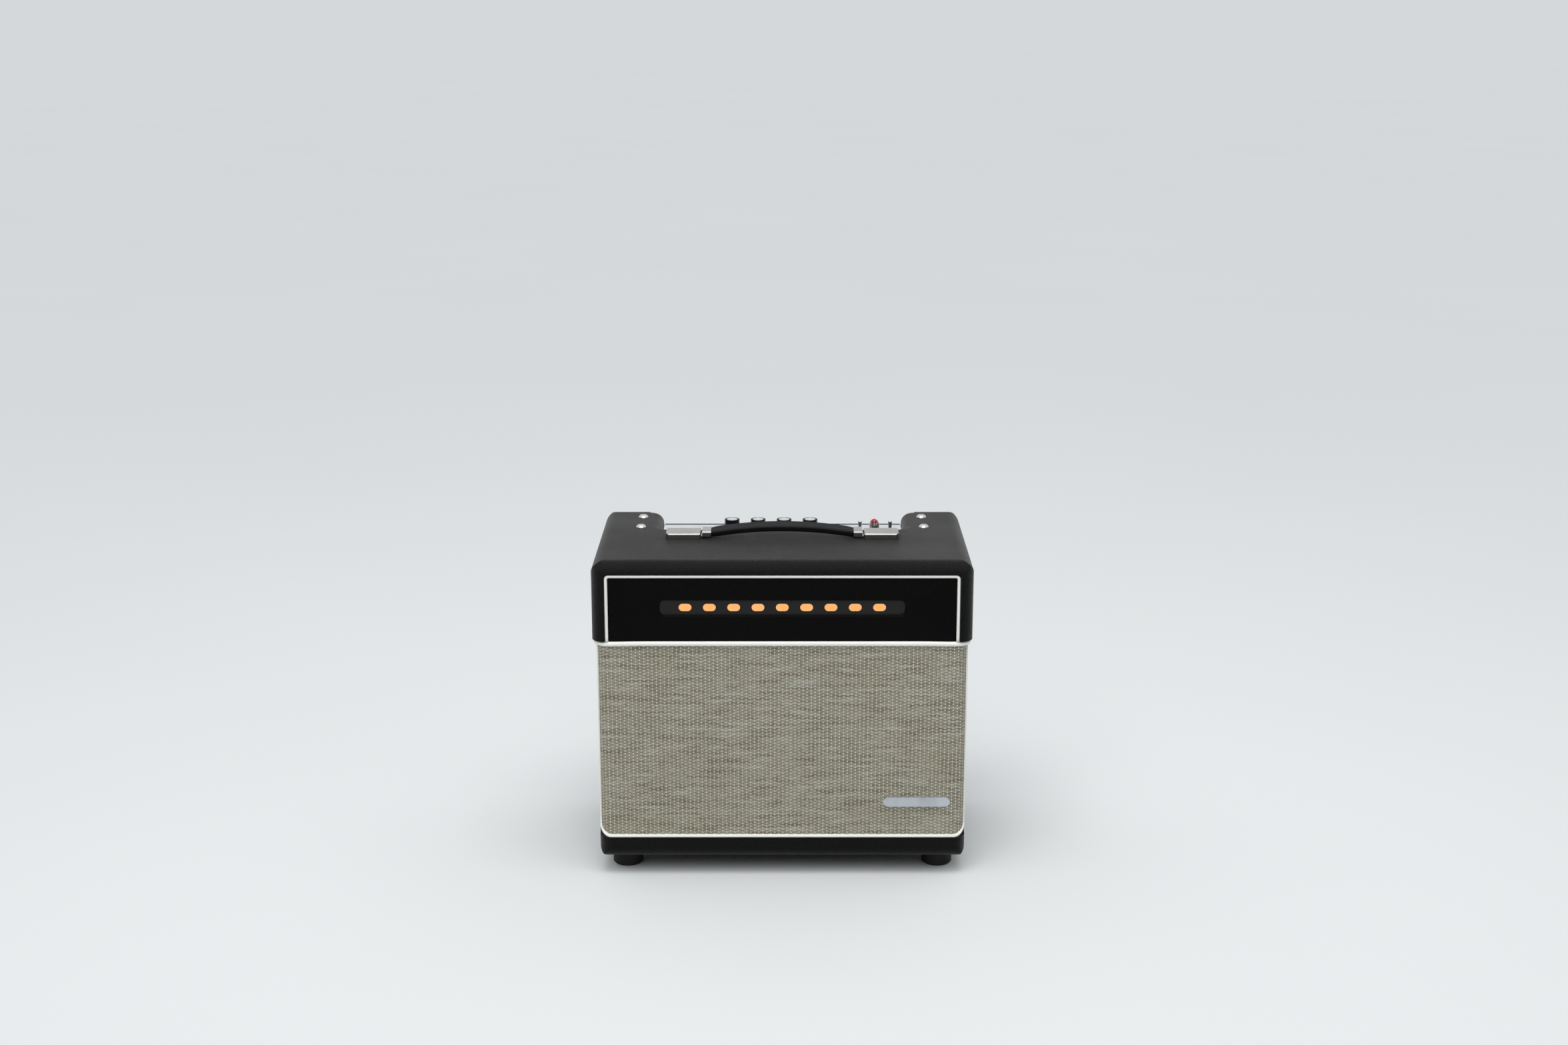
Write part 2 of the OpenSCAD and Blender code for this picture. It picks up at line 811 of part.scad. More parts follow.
module pots() {
    color("#9a9da0") for (i = [1 : knob_count]) translate([knob_x(i), control_y, 0])
        difference() {
            union() {
                translate([0, 0, pan_top_z - pot_h]) cylinder(r = pot_r, h = pot_h - GAP / 2);
                translate([0, 0, pan_top_z - 1]) cylinder(r = bush_r, h = plate_t + 1 + bush_top);
                translate([-pot_lug_w / 2, -pot_r - 5, pan_top_z - pot_h])
                    cube([pot_lug_w, pot_lug_l, 1.5]);
            }
            translate([0, 0, pan_top_z - pot_h + pot_base_t]) cylinder(r = shaft_r + 0.05, h = BIG);
        }
}

// A hexagon nut standing on the plate.
module plate_nut(bore_r, across_flats, nut_h) {
    difference() {
        cylinder(d = across_flats / cos(30), h = nut_h, $fn = 6);
        translate([0, 0, -1]) cylinder(r = bore_r, h = nut_h + 2);
    }
}

module control_nuts() {
    color("#c4c7ca") translate([0, control_y, plate_z]) {
        for (i = [1 : knob_count]) translate([knob_x(i), 0, 0])
            plate_nut(bush_r + 0.05, nut_af, nut_t);
        for (x = [standby_x, power_x]) translate([x, 0, 0])
            plate_nut(toggle_thread_r + 0.05, toggle_nut_af, toggle_nut_t);
        translate([jack_x, 0, 0]) plate_nut(jack_r + 0.05, jack_nut_af, jack_nut_t);
    }
}

// Half-round seat where a lever's ball sits.
module toggle_bodies() {
    color("#8f9296") for (x = [standby_x, power_x]) translate([x, control_y, 0])
        difference() {
            union() {
                translate([-toggle_body_w / 2, -toggle_body_w / 2, pan_top_z - toggle_body_h])
                    cube([toggle_body_w, toggle_body_w, toggle_body_h - GAP / 2]);
                translate([0, 0, pan_top_z - 1])
                    cylinder(r = toggle_thread_r, h = lever_pivot_z - pan_top_z + 2.6);
                for (y = [-4, 0, 4]) translate([-1, y - 0.4, pan_top_z - 24]) cube([2, 0.8, 7]);
            }
            translate([0, 0, lever_pivot_z]) sphere(r = lever_ball_r + 0.05);
            along_x(-4, 4) translate([0, lever_pivot_z]) intersection() {
                polygon([[0, -2.4], [-7, 7], [7, 7]]);
                square([9, 20], center = true);
            }
        }
}

// A bat lever that leans back from its ball.
module lever(x) {
    color("#c4c7ca") translate([x, control_y, lever_pivot_z]) rotate([-lever_lean, 0, 0]) {
        sphere(r = lever_ball_r);
        cylinder(r1 = lever_root_r, r2 = lever_tip_r, h = lever_len - lever_tip_r);
        translate([0, 0, lever_len - lever_tip_r]) sphere(r = lever_tip_r);
    }
}

module standby_lever() {
    lever(standby_x);
}

module power_lever() {
    lever(power_x);
}

module pilot_bezel() {
    flange_h = 1.4;
    color("#d0d2d4") translate([pilot_x, control_y, 0]) difference() {
        union() {
            translate([0, 0, plate_z]) cylinder(r = pilot_r + 1, h = flange_h);
            translate([0, 0, plate_z + 1]) cylinder(r = pilot_r, h = pilot_shoulder_z - plate_z - 1);
            translate([0, 0, pilot_shoulder_z - EPS])
                cylinder(r1 = pilot_r, r2 = jewel_r + 0.6, h = pilot_rim_z - pilot_shoulder_z);
            translate([0, 0, plate_z - pilot_thread_len])
                cylinder(r = pilot_thread_r, h = pilot_thread_len + flange_h / 2);
        }
        translate([0, 0, jewel_seat_z]) cylinder(r = jewel_r + GAP, h = BIG);
        translate([0, 0, plate_z - pilot_thread_len + 4]) cylinder(r = pilot_thread_r - 1, h = BIG);
    }
}

module pilot_jewel() {
    shoulder_z = pilot_rim_z + 0.2;
    dome_h = jewel_top_z - shoulder_z;
    dome_r = (jewel_r * jewel_r + dome_h * dome_h) / (2 * dome_h);
    color("#c01030") translate([pilot_x, control_y, 0]) {
        translate([0, 0, jewel_seat_z + GAP / 2])
            cylinder(r = jewel_r, h = shoulder_z - jewel_seat_z - GAP / 2);
        translate([0, 0, shoulder_z]) intersection() {
            translate([0, 0, dome_h - dome_r]) sphere(r = dome_r);
            cylinder(r = jewel_r, h = dome_h + 1);
        }
    }
}

module input_jack() {
    color("#a4a7aa") translate([jack_x, control_y, 0]) difference() {
        union() {
            translate([0, 0, plate_z - plate_t - 4])
                cylinder(r = jack_r, h = plate_t + 4 + jack_thread_h);
            translate([-jack_body_w / 2, -jack_body_w / 2, plate_z - plate_t - jack_len])
                cube([jack_body_w, jack_body_w, jack_len - GAP / 2]);
        }
        translate([0, 0, plate_z - plate_t - jack_len + 3]) cylinder(r = jack_bore_r, h = BIG);
    }
}

// Each knob is a plain skirted cylinder with a bore for its shaft and a seat for its silver top.
module knob(i) {
    low = plate_z + knob_gap;
    color("#151515") translate([knob_x(i), control_y, low]) difference() {
        cylinder(r1 = knob_d / 2, r2 = knob_d / 2 - knob_taper, h = knob_top_z - low);
        translate([0, 0, -1]) cylinder(r = shaft_r + 0.02, h = 9.5);
        translate([0, 0, knob_top_z - low - knob_cap_seat]) {
            cylinder(r = knob_d / 2 - knob_wall, h = 2);
            translate([-index_w / 2, 0, 0]) cube([index_w, knob_d, 2]);
        }
    }
}

// The silver disc and the index that reaches from it through the knob's rim.
module knob_cap(i) {
    cap_t = knob_cap_seat + knob_cap_proud;
    tongue_w = index_w - GAP;
    color("#dfe1e3") translate([knob_x(i), control_y, knob_top_z - knob_cap_seat]) {
        cylinder(r = knob_d / 2 - knob_wall - GAP / 2, h = cap_t);
        translate([-tongue_w / 2, 0, 0]) cube([tongue_w, knob_d / 2 - knob_taper - GAP, cap_t]);
    }
}

module pot_shaft(i) {
    color("#b0b3b6") translate([knob_x(i), control_y, pan_top_z - pot_h + 1.2])
        cylinder(r = shaft_r, h = plate_z + knob_gap + 8 - pan_top_z + pot_h - 1.2);
}

// ---------- Handle ----------

module handle_caps() {
    slit_low = band_z - band_t / 2 - GAP;
    slit_high = band_z + band_t / 2 + lift + 0.2;
    edge = 2.2;
    corner = 5;
    color("#c8cacc") both_sides() difference() {
        intersection() {
            translate([0, 0, top_z]) linear_extrude(cap_h) {
                round_rect([cap_inner, handle_y - cap_depth / 2],
                    [cap_outer - corner, handle_y + cap_depth / 2], edge);
                round_rect([cap_inner + corner, handle_y - cap_depth / 2],
                    [cap_outer, handle_y + cap_depth / 2], corner);
            }
            along_y(front_y, back_y)
                round_rect([cap_inner, top_z - 3 * edge], [cap_outer, top_z + cap_h], edge);
            along_x(0, upper_half) round_rect([handle_y - cap_depth / 2, top_z - 3 * edge],
                [handle_y + cap_depth / 2, top_z + cap_h], edge);
        }
        span([cap_inner + cap_wall, handle_y - cap_depth / 2 + cap_wall, top_z - 1],
            [cap_outer - cap_wall, handle_y + cap_depth / 2 - cap_wall, top_z + cap_h - cap_wall]);
        span([cap_inner - 1, handle_y - band_w / 2 - 0.6, slit_low],
            [cap_inner + cap_wall + 1, handle_y + band_w / 2 + 0.6, slit_high]);
        // shallow seats for the end screws
        translate([cap_outer - 2.4, handle_y, top_z + 2.6]) rotate([0, 90, 0]) cylinder(r = 1.3, h = 5);
    }
}

module handle_screws() {
    color("#c8cacc") both_sides()
        translate([cap_outer, handle_y, top_z + 2.6]) rotate([0, 90, 0])
            dome_screw(2.2, 0.9, 1.2, 2.2);
}

// The strap's arch: a slice of a big ring that drops to its ends.
strap_drop = strap_top - strap_t - strap_end_z;
arch_half = ferrule_inner;
arch_r = (arch_half * arch_half + strap_drop * strap_drop) / (2 * strap_drop);

module handle_strap() {
    centre_z = strap_top - strap_t - arch_r;
    low = handle_y - strap_w / 2;
    rib_w = 2.6;
    color("#121213") {
        intersection() {
            difference() {
                rod_y(0, centre_z, arch_r + strap_t, low, low + strap_w);
                rod_y(0, centre_z, arch_r, low - 1, low + strap_w + 1);
                // two shallow channels along the upper face
                for (y = [handle_y - strap_w / 4, handle_y + strap_w / 4])
                    difference() {
                        rod_y(0, centre_z, arch_r + strap_t + 1, y - rib_w / 2, y + rib_w / 2);
                        rod_y(0, centre_z, arch_r + strap_t - 0.8, y - rib_w, y + rib_w);
                    }
            }
            span([-arch_half, low - 1, top_z], [arch_half, low + strap_w + 1, strap_top + 1]);
        }
    }
}

module handle_ferrules() {
    half_w = strap_w / 2;
    ferrule_low = strap_end_z - 0.8;
    ferrule_top = strap_end_z + strap_t + 0.2;
    stop_x = cap_inner + cap_wall + 3;
    color("#c8cacc") both_sides() {
        along_x(ferrule_inner + GAP / 2, ferrule_outer)
            round_rect([handle_y - half_w, ferrule_low], [handle_y + half_w, ferrule_top], 2);
        // the steel band runs through the slit and ends in a stop inside the cap
        span([ferrule_outer - 1, handle_y - band_w / 2, band_z - band_t / 2],
            [stop_x, handle_y + band_w / 2, band_z + band_t / 2]);
        span([stop_x - EPS, handle_y - band_w / 2 - 3, band_z - band_t / 2],
            [stop_x + 3, handle_y + band_w / 2 + 3, band_z + band_t / 2]);
    }
}

// ---------- Speaker ----------

// Radii and depths of the speaker's shells, measured back from the baffle's rear face.
seat_y = baffle_back_y;
rim_r = speaker_d / 2;
cone_r = 100;
coil_r = 25.6;

// Turns a profile drawn as radius and depth behind the seat about the speaker's axis.
module spun() {
    translate([0, seat_y, speaker_z]) rotate([-90, 0, 0]) rotate_extrude($fn = 96) children();
}

module speaker_basket() {
    windows = 6;
    depth_in = 62;
    color("#3a3c40") difference() {
        spun() union() {
            polygon([[rim_r, 0], [rim_r, 2], [113, 2], [113, 5.4], [111.5, 5.4], [111.5, 3.9],
                [106, 3.9], [106, 2.4], [111.5, 2.4], [111.5, 0]]);
            polygon([[113, 4], [62, depth_in - 1.5], [62, depth_in], [60, depth_in], [111.5, 4]]);
            translate([28, depth_in - 1.5]) square([34, 1.5]);
            translate([50, depth_in - 8]) square([10, 1.2]);
            polygon([[60, depth_in - 8], [66, depth_in - 8], [61.5, depth_in], [60, depth_in]]);
        }
        translate([0, seat_y, speaker_z]) for (i = [0 : windows - 1])
            rotate([0, i * 360 / windows, 0]) translate([0, 30, 84]) cube([52, 38, 44], center = true);
        translate([0, 0, speaker_z]) speaker_bolt_places()
            rod_y(rim_r - 5.5, 0, 2.5, seat_y - 1, seat_y + 3);
    }
}

module speaker_magnet() {
    color("#54565a") spun() union() {
        translate([26.6, 62 + GAP]) square([26, 6]);
        translate([30, 67.9]) square([28, 16.2]);
        translate([6, 84]) square([46, 6]);
        translate([6, 60.5]) square([18.4, 24]);
    }
}

module speaker_cone() {
    color("#2b2a29") spun()
        polygon([[cone_r, 1.4], [cone_r + 3, 1.4], [cone_r + 3, 2.2], [cone_r, 2.2],
            [coil_r + 1, 46.8], [coil_r + 0.4, 46.8], [coil_r + 0.4, 46]]);
}

module speaker_surround() {
    color("#1d1c1c") spun() union() {
        translate([cone_r + 3.05, 1.4]) square([2, 0.8]);
        translate([106.4, 1.4]) square([4.8, 0.8]);
        translate([105.6, 1.8]) difference() {
            circle(1.6);
            circle(0.9);
            translate([-3, 0]) square([6, 3]);
        }
    }
}

module dust_cap() {
    cap_r = 30;
    rise = 9;
    dome_r = (cap_r * cap_r + rise * rise) / (2 * rise);
    wall = 0.7;
    color("#232221") translate([0, seat_y + 43.4, speaker_z]) rotate([90, 0, 0])
        intersection() {
            difference() {
                translate([0, 0, rise - dome_r]) sphere(r = dome_r);
                translate([0, 0, rise - dome_r]) sphere(r = dome_r - wall);
            }
            cylinder(r = cap_r, h = rise + 1);
        }
}

module voice_coil() {
    color("#b87333") spun() translate([coil_r - 0.5, 46.9]) square([0.8, 24]);
}

module spider() {
    color("#c9a86a") spun() union() {
        translate([coil_r + 0.4, 53.4]) square([24, 0.5]);
        for (r = [30 : 5 : 45]) translate([r, 53.7]) difference() {
            circle(1.3);
            circle(0.8);
            translate([-2, 0.2]) square([4, 2]);
        }
        translate([coil_r + 24, 53.4]) square([9, 0.5]);
    }
}

module speaker_bolts() {
    hex_h = 3;
    color("#8d9094") translate([0, 0, speaker_z]) speaker_bolt_places() {
        rod_y(rim_r - 5.5, 0, 2, seat_y - baffle_t + 1, seat_y + 4);
        translate([rim_r - 5.5, seat_y + 2 + hex_h, 0]) rotate([90, 0, 0])
            cylinder(d = 8.6, h = hex_h - GAP, $fn = 6);
    }
}

// ---------- Electronics under the chassis ----------

module transformer(x, w, d, h) {
    core = 0.62;
    translate([x, 74, pan_floor_z - h - GAP]) {
        translate([-w / 2, -d * core / 2, 0]) cube([w, d * core, h]);
        translate([-w * core / 2, -d / 2, h * 0.16]) cube([w * core, d, h * 0.68]);
    }
}

module transformers() {
    color("#26272b") {
        transformer(112, 66, 58, 54);
        transformer(-160, 52, 46, 44);
    }
}

// A recessed three-pin inlet, with its flange on the outside of the chassis's rear wall.
module mains_inlet() {
    recess_w = 24;
    recess_h = 16.5;
    recess_depth = 15;
    pin_len = 12;
    floor_y = pan_back_y + 2.4 - recess_depth;
    color("#17181a") translate([inlet_x, 0, inlet_z]) {
        difference() {
            union() {
                along_y(pan_back_y + GAP, pan_back_y + 2.4) round_rect(
                    [-inlet_flange_w / 2, -inlet_flange_h / 2], [inlet_flange_w / 2, inlet_flange_h / 2], 3);
                along_y(pan_back_y - inlet_depth, pan_back_y + 1) square([inlet_w, inlet_h], center = true);
            }
            along_y(floor_y, back_y)
                round_rect([-recess_w / 2, -recess_h / 2], [recess_w / 2, recess_h / 2], 2);
        }
        for (p = [[-7, 2], [0, -2], [7, 2]]) translate([p[0], 0, p[1]])
            along_y(floor_y - 1, floor_y + pin_len) square([2, 4], center = true);
    }
}

module tube_sockets() {
    color("#d9d6cc") tube_places() difference() {
        union() {
            translate([0, 0, -7]) cylinder(r = 9, h = 12);
            translate([0, 0, -1.2]) cylinder(r = 11.5, h = 1);
        }
        translate([0, 0, -8]) cylinder(r = 5.6, h = 7);
    }
}

// One valve hanging from its socket: a glass envelope with its pip at the lower end.
module tube(i, len) {
    r = 11;
    translate([tube_xs[i], tube_y, pan_floor_z - 7.2 - len]) {
        translate([0, 0, r]) cylinder(r = r, h = len - r);
        translate([0, 0, r]) sphere(r = r);
        translate([0, 0, -2.4]) cylinder(r = 1.6, h = 4);
    }
}

module power_tubes() {
    color("#cfd8dc") for (i = [0, 1]) tube(i, 66);
}

module preamp_tubes() {
    color("#cfd8dc") for (i = [2, 3, 4]) tube(i, 46);
}

top_board();
left_side();
right_side();
bottom_board();
baffle_board();
grille_frame();
grille_cloth();
grille_piping();
waist_piping();
fascia_panel();
fascia_piping();
name_mask();
name_lens();
light_board();
badge();
rear_panel_upper();
rear_panel_lower();
cabinet_screws();
feet();
chassis();
control_plate();
chassis_screws();
circuit_board();
pots();
control_nuts();
pot_shaft(1);  // pot_shaft_1
pot_shaft(2);  // pot_shaft_2
pot_shaft(3);  // pot_shaft_3
pot_shaft(4);  // pot_shaft_4
knob(1);  // knob_1
knob(2);  // knob_2
knob(3);  // knob_3
knob(4);  // knob_4
knob_cap(1);  // knob_cap_1
knob_cap(2);  // knob_cap_2
knob_cap(3);  // knob_cap_3
knob_cap(4);  // knob_cap_4
toggle_bodies();
standby_lever();
power_lever();
pilot_bezel();
pilot_jewel();
input_jack();
handle_caps();
handle_screws();
handle_strap();
handle_ferrules();
speaker_basket();
speaker_magnet();
speaker_cone();
speaker_surround();
dust_cap();
spider();
voice_coil();
speaker_bolts();
transformers();
mains_inlet();
tube_sockets();
power_tubes();
preamp_tubes();
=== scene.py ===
"""Looks of a small valve guitar amplifier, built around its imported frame."""

import math

import bmesh
import bpy
import numpy as np
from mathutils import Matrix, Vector


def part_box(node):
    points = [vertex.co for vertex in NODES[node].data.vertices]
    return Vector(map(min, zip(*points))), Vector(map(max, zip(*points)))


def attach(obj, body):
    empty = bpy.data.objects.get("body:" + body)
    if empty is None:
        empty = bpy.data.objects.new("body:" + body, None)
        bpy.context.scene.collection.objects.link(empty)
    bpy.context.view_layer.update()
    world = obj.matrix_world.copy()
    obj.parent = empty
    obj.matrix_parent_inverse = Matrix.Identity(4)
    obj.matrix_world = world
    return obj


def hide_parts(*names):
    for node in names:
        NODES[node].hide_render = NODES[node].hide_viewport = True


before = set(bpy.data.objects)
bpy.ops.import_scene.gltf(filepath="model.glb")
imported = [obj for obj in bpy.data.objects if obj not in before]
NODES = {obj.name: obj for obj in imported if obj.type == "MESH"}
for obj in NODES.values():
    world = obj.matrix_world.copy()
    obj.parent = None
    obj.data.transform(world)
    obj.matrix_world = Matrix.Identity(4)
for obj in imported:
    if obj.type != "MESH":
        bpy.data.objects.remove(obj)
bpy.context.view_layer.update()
MM = 0.001

# ---------------------------------------------------------------- shader helpers


class Shader:
    """A material with a Principled shader and short calls for its nodes."""

    def __init__(self, name, **settings):
        self.material = bpy.data.materials.new(name)
        self.material.use_nodes = True
        self.tree = self.material.node_tree
        self.bsdf = self.tree.nodes["Principled BSDF"]
        self.set(**settings)

    def set(self, **settings):
        for key, value in settings.items():
            self.bsdf.inputs[key.replace("_", " ")].default_value = value

    def feed(self, key, socket):
        self.tree.links.new(socket, self.bsdf.inputs[key])

    def node(self, kind, inputs=(), **props):
        made = self.tree.nodes.new("ShaderNode" + kind)
        for key, value in props.items():
            setattr(made, key, value)
        for key, value in dict(inputs).items():
            if isinstance(value, bpy.types.NodeSocket):
                self.tree.links.new(value, made.inputs[key])
            else:
                made.inputs[key].default_value = value
        return made

    def math(self, operation, *values, clamp=False):
        made = self.node("Math", dict(enumerate(values)), operation=operation)
        made.use_clamp = clamp
        return made.outputs[0]

    def coords(self, scale=(1, 1, 1)):
        place = self.node("TexCoord").outputs["Object"]
        return self.scaled(place, scale)

    def scaled(self, vector, scale):
        return self.node("VectorMath", {0: vector, 1: scale}, operation="MULTIPLY").outputs[0]

    def noise(self, vector, scale, detail=3.0, roughness=0.5, distortion=0.0):
        made = self.node("TexNoise", {"Vector": vector, "Scale": scale, "Detail": detail,
                                      "Roughness": roughness, "Distortion": distortion})
        return made.outputs["Fac"]

    def voronoi(self, vector, scale, feature="DISTANCE_TO_EDGE", randomness=1.0):
        made = self.node("TexVoronoi", {"Vector": vector, "Scale": scale, "Randomness": randomness},
                         feature=feature)
        return made.outputs["Distance"]

    def span(self, value, low, high, to_low=0.0, to_high=1.0):
        made = self.node("MapRange", {"Value": value, "From Min": low, "From Max": high,
                                      "To Min": to_low, "To Max": to_high},
                         interpolation_type="SMOOTHSTEP")
        return made.outputs[0]

    def mix(self, factor, first, second):
        made = self.node("Mix", {0: factor, 6: first, 7: second}, data_type="RGBA")
        return made.outputs[2]

    def bump(self, height, strength, distance):
        made = self.node("Bump", {"Height": height, "Strength": strength, "Distance": distance})
        self.feed("Normal", made.outputs[0])


def rgb(red, green, blue):
    """An sRGB colour of 0 to 255 as the linear colour the shader takes."""
    parts = [c / 255 for c in (red, green, blue)]
    linear = [c / 12.92 if c <= 0.04045 else ((c + 0.055) / 1.055) ** 2.4 for c in parts]
    return (*linear, 1.0)


# ---------------------------------------------------------------- materials


def leathercloth(name, tone=0.8, grain=1.0, shine=0.12, sheen=0.2):
    """Black leathercloth: pebbled grain with fine creases, and a soft sheen."""
    s = Shader(name, Specular_IOR_Level=shine, Sheen_Weight=sheen, Sheen_Roughness=0.35,
               Sheen_Tint=(1.0, 0.96, 0.95, 1.0))
    place = s.coords()
    warp = s.noise(place, 260, 2.0)
    shift = s.node("VectorMath", {0: place, 1: (0.0011, 0.0011, 0.0011)}, operation="MULTIPLY_ADD")
    s.tree.links.new(place, shift.inputs[2])
    pebbles = s.voronoi(shift.outputs[0], 560)
    small = s.voronoi(place, 1500, feature="F1")
    creases = s.noise(place, 420, 5.0, 0.62, 0.6)
    raised = s.span(pebbles, 0.0, 0.28)
    height = s.math("MULTIPLY_ADD", raised, 0.55, s.math("MULTIPLY", creases, 0.75))
    height = s.math("MULTIPLY_ADD", small, -0.22, height)
    patches = s.noise(place, 9, 3.0)
    # the raised pebbles are coloured lighter and the hollows between them darker: painted highlight on
    # the pebbles and painted shade in the hollows
    colour = s.mix(s.span(raised, 0.1, 0.9), rgb(5 * tone, 5 * tone, 6 * tone),
                   rgb(12 * tone, 11 * tone, 12 * tone))
    middle = rgb(9 * tone, 8 * tone, 9 * tone)
    s.feed("Base Color", s.mix(s.math("MULTIPLY", warp, 0.35), colour, middle))
    dull = s.math("MULTIPLY_ADD", raised, -0.14, patches)
    s.feed("Roughness", s.span(dull, 0.15, 0.75, 0.42, 0.58))
    s.bump(height, 0.8 * grain, 0.0005)
    return s.material


def piping_vinyl():
    """White piping: smooth vinyl with a slight yellowing and faint dents."""
    s = Shader("piping_vinyl", Roughness=0.36, Specular_IOR_Level=0.45)
    place = s.coords()
    tint = s.noise(place, 22, 4.0)
    grime = s.span(s.noise(place, 150, 5.0, 0.65), 0.52, 0.78)
    colour = s.mix(tint, rgb(240, 240, 235), rgb(229, 229, 221))
    s.feed("Base Color", s.mix(s.math("MULTIPLY", grime, 0.25), colour, rgb(190, 186, 172)))
    s.bump(s.noise(place, 320, 3.0), 0.16, 0.0004)
    return s.material


# the cloth's columns and rows repeat at these widths; the places in the weave ride in this attribute
WEAVE_U = 4.85 * MM
WEAVE_V = 3.8 * MM
WEAVE_ATTRIBUTE = "weave_co"


def grille_weave():
    """Salt-and-pepper grille cloth: columns of pale beads, with two short slanting stitches between."""
    s = Shader("grille_weave", Roughness=0.8, Specular_IOR_Level=0.2)
    place = s.node("Attribute", attribute_name=WEAVE_ATTRIBUTE).outputs["Vector"]
    wobble = s.noise(place, 90, 2.0)
    apart = s.node("SeparateXYZ", {0: place})
    across = s.math("MULTIPLY_ADD", wobble, 0.16, s.math("DIVIDE", apart.outputs[0], WEAVE_U))
    along = s.math("MULTIPLY_ADD", wobble, 0.26, s.math("DIVIDE", apart.outputs[1], WEAVE_V))
    column = s.math("FLOOR", across)
    inside = s.math("SUBTRACT", across, column)
    # one bead to a row down each column, staggered by half a row on every second column
    half_step = s.math("MULTIPLY", s.math("PINGPONG", column, 1.0), 0.5)
    off_column = s.math("ABSOLUTE", s.math("SUBTRACT", inside, 0.16))
    step = s.math("FRACT", s.math("ADD", along, half_step))
    off_bead = s.math("ABSOLUTE", s.math("SUBTRACT", step, 0.5))
    bead_r = s.math("SQRT", s.math("ADD", s.math("POWER", s.math("MULTIPLY", off_column, 2.6), 2.0),
                                   s.math("POWER", s.math("MULTIPLY", off_bead, 0.96), 2.0)))
    bead = s.span(bead_r, 0.20, 0.52, 1.0, 0.0)
    # the stitches: two to a row, each rising to the right
    second = s.math("GREATER_THAN", inside, 0.66)
    off_stitch = s.math("SUBTRACT", inside, s.math("MULTIPLY_ADD", second, 0.30, 0.50))
    rise = s.math("MULTIPLY_ADD", off_stitch, -2.5, s.math("MULTIPLY", along, 2.0))
    rise = s.math("MULTIPLY_ADD", second, 0.45, rise)
    slant = s.math("ABSOLUTE", s.math("SUBTRACT", s.math("FRACT", rise), 0.5))
    ends = s.span(s.math("ABSOLUTE", off_stitch), 0.11, 0.21, 1.0, 0.0)
    stitch = s.math("MULTIPLY", s.span(slant, 0.14, 0.44, 1.0, 0.0), ends)
    cell = s.node("CombineXYZ", {0: s.math("ADD", column, s.math("MULTIPLY", second, 0.5)),
                                 1: s.math("FLOOR", rise), 2: 0.0})
    dye = s.node("TexWhiteNoise", {"Vector": cell.outputs[0]}, noise_dimensions="3D").outputs["Value"]
    # every weft row has its own shade, which changes slowly along it; the warp drifts as well
    doubled = s.math("MULTIPLY", along, 2.0)
    row = s.math("FLOOR", doubled)
    in_row = s.math("ABSOLUTE", s.math("SUBTRACT", s.math("FRACT", doubled), 0.5))
    thin = s.span(in_row, 0.18, 0.42, 1.0, 0.25)
    row_place = s.node("CombineXYZ", {0: s.math("MULTIPLY", apart.outputs[0], 22.0),
                                      1: s.math("MULTIPLY", row, 7.31), 2: 0.0}).outputs[0]
    shade = s.noise(row_place, 1.0, 2.0, 0.55)
    pale = s.math("MULTIPLY", s.span(shade, 0.54, 0.66), s.math("MULTIPLY", thin, 0.8))
    dark = s.span(shade, 0.48, 0.34)
    warp = s.noise(s.scaled(place, (210, 5, 1)), 1.0, 2.0, 0.5)
    ground = s.mix(warp, rgb(58, 51, 40), rgb(90, 82, 66))
    ground = s.mix(dark, ground, rgb(44, 30, 22))
    ground = s.mix(pale, ground, rgb(150, 152, 146))
    yarn = s.mix(dye, rgb(160, 161, 146), rgb(212, 207, 186))
    yarn = s.mix(s.math("MULTIPLY", pale, 0.6), yarn, rgb(206, 210, 206))
    yarn = s.mix(s.math("MULTIPLY", dark, 0.5), yarn, rgb(110, 90, 70))
    colour = s.mix(stitch, ground, yarn)
    ivory = s.mix(warp, rgb(255, 250, 230), rgb(222, 216, 192))
    colour = s.mix(s.math("MULTIPLY", bead, 0.94), colour, ivory)
    s.feed("Base Color", colour)
    height = s.math("MAXIMUM", s.math("MULTIPLY", stitch, 0.75), bead)
    height = s.math("MULTIPLY_ADD", s.noise(place, 2600, 2.0), 0.25, height)
    s.bump(height, 0.8, 0.0006)
    return s.material


def metal(name, colour, rough, scratch=0.15, stretch=(1, 1, 1), bump=0.03):
    """Plated or polished metal with fine scratches and faint smudges."""
    s = Shader(name, Metallic=1.0)
    place = s.coords(stretch)
    smudge = s.noise(s.coords(), 45, 4.0, 0.6)
    fine = s.noise(place, 1400, 3.0, 0.7)
    dim = tuple(0.82 * c for c in colour[:3]) + (1.0,)
    s.feed("Base Color", s.mix(s.span(smudge, 0.35, 0.8), colour, dim))
    wear = s.math("MULTIPLY", fine, scratch)
    s.feed("Roughness", s.math("MULTIPLY_ADD", smudge, 0.10, s.math("ADD", wear, rough), clamp=True))
    s.bump(fine, bump, 0.0001)
    return s.material


def spun_silver():
    """Bright metal turned on a lathe, with a fine grain drawn out along the vertical."""
    s = Shader("spun_silver", Metallic=1.0, Roughness=0.30)
    place = s.coords()
    fine = s.noise(s.scaled(place, (1, 1, 0.1)), 2400, 3.0, 0.6)
    tint = s.noise(place, 60, 3.0)
    s.feed("Base Color", s.mix(tint, rgb(238, 240, 242), rgb(214, 217, 220)))
    s.bump(fine, 0.12, 0.0001)
    return s.material


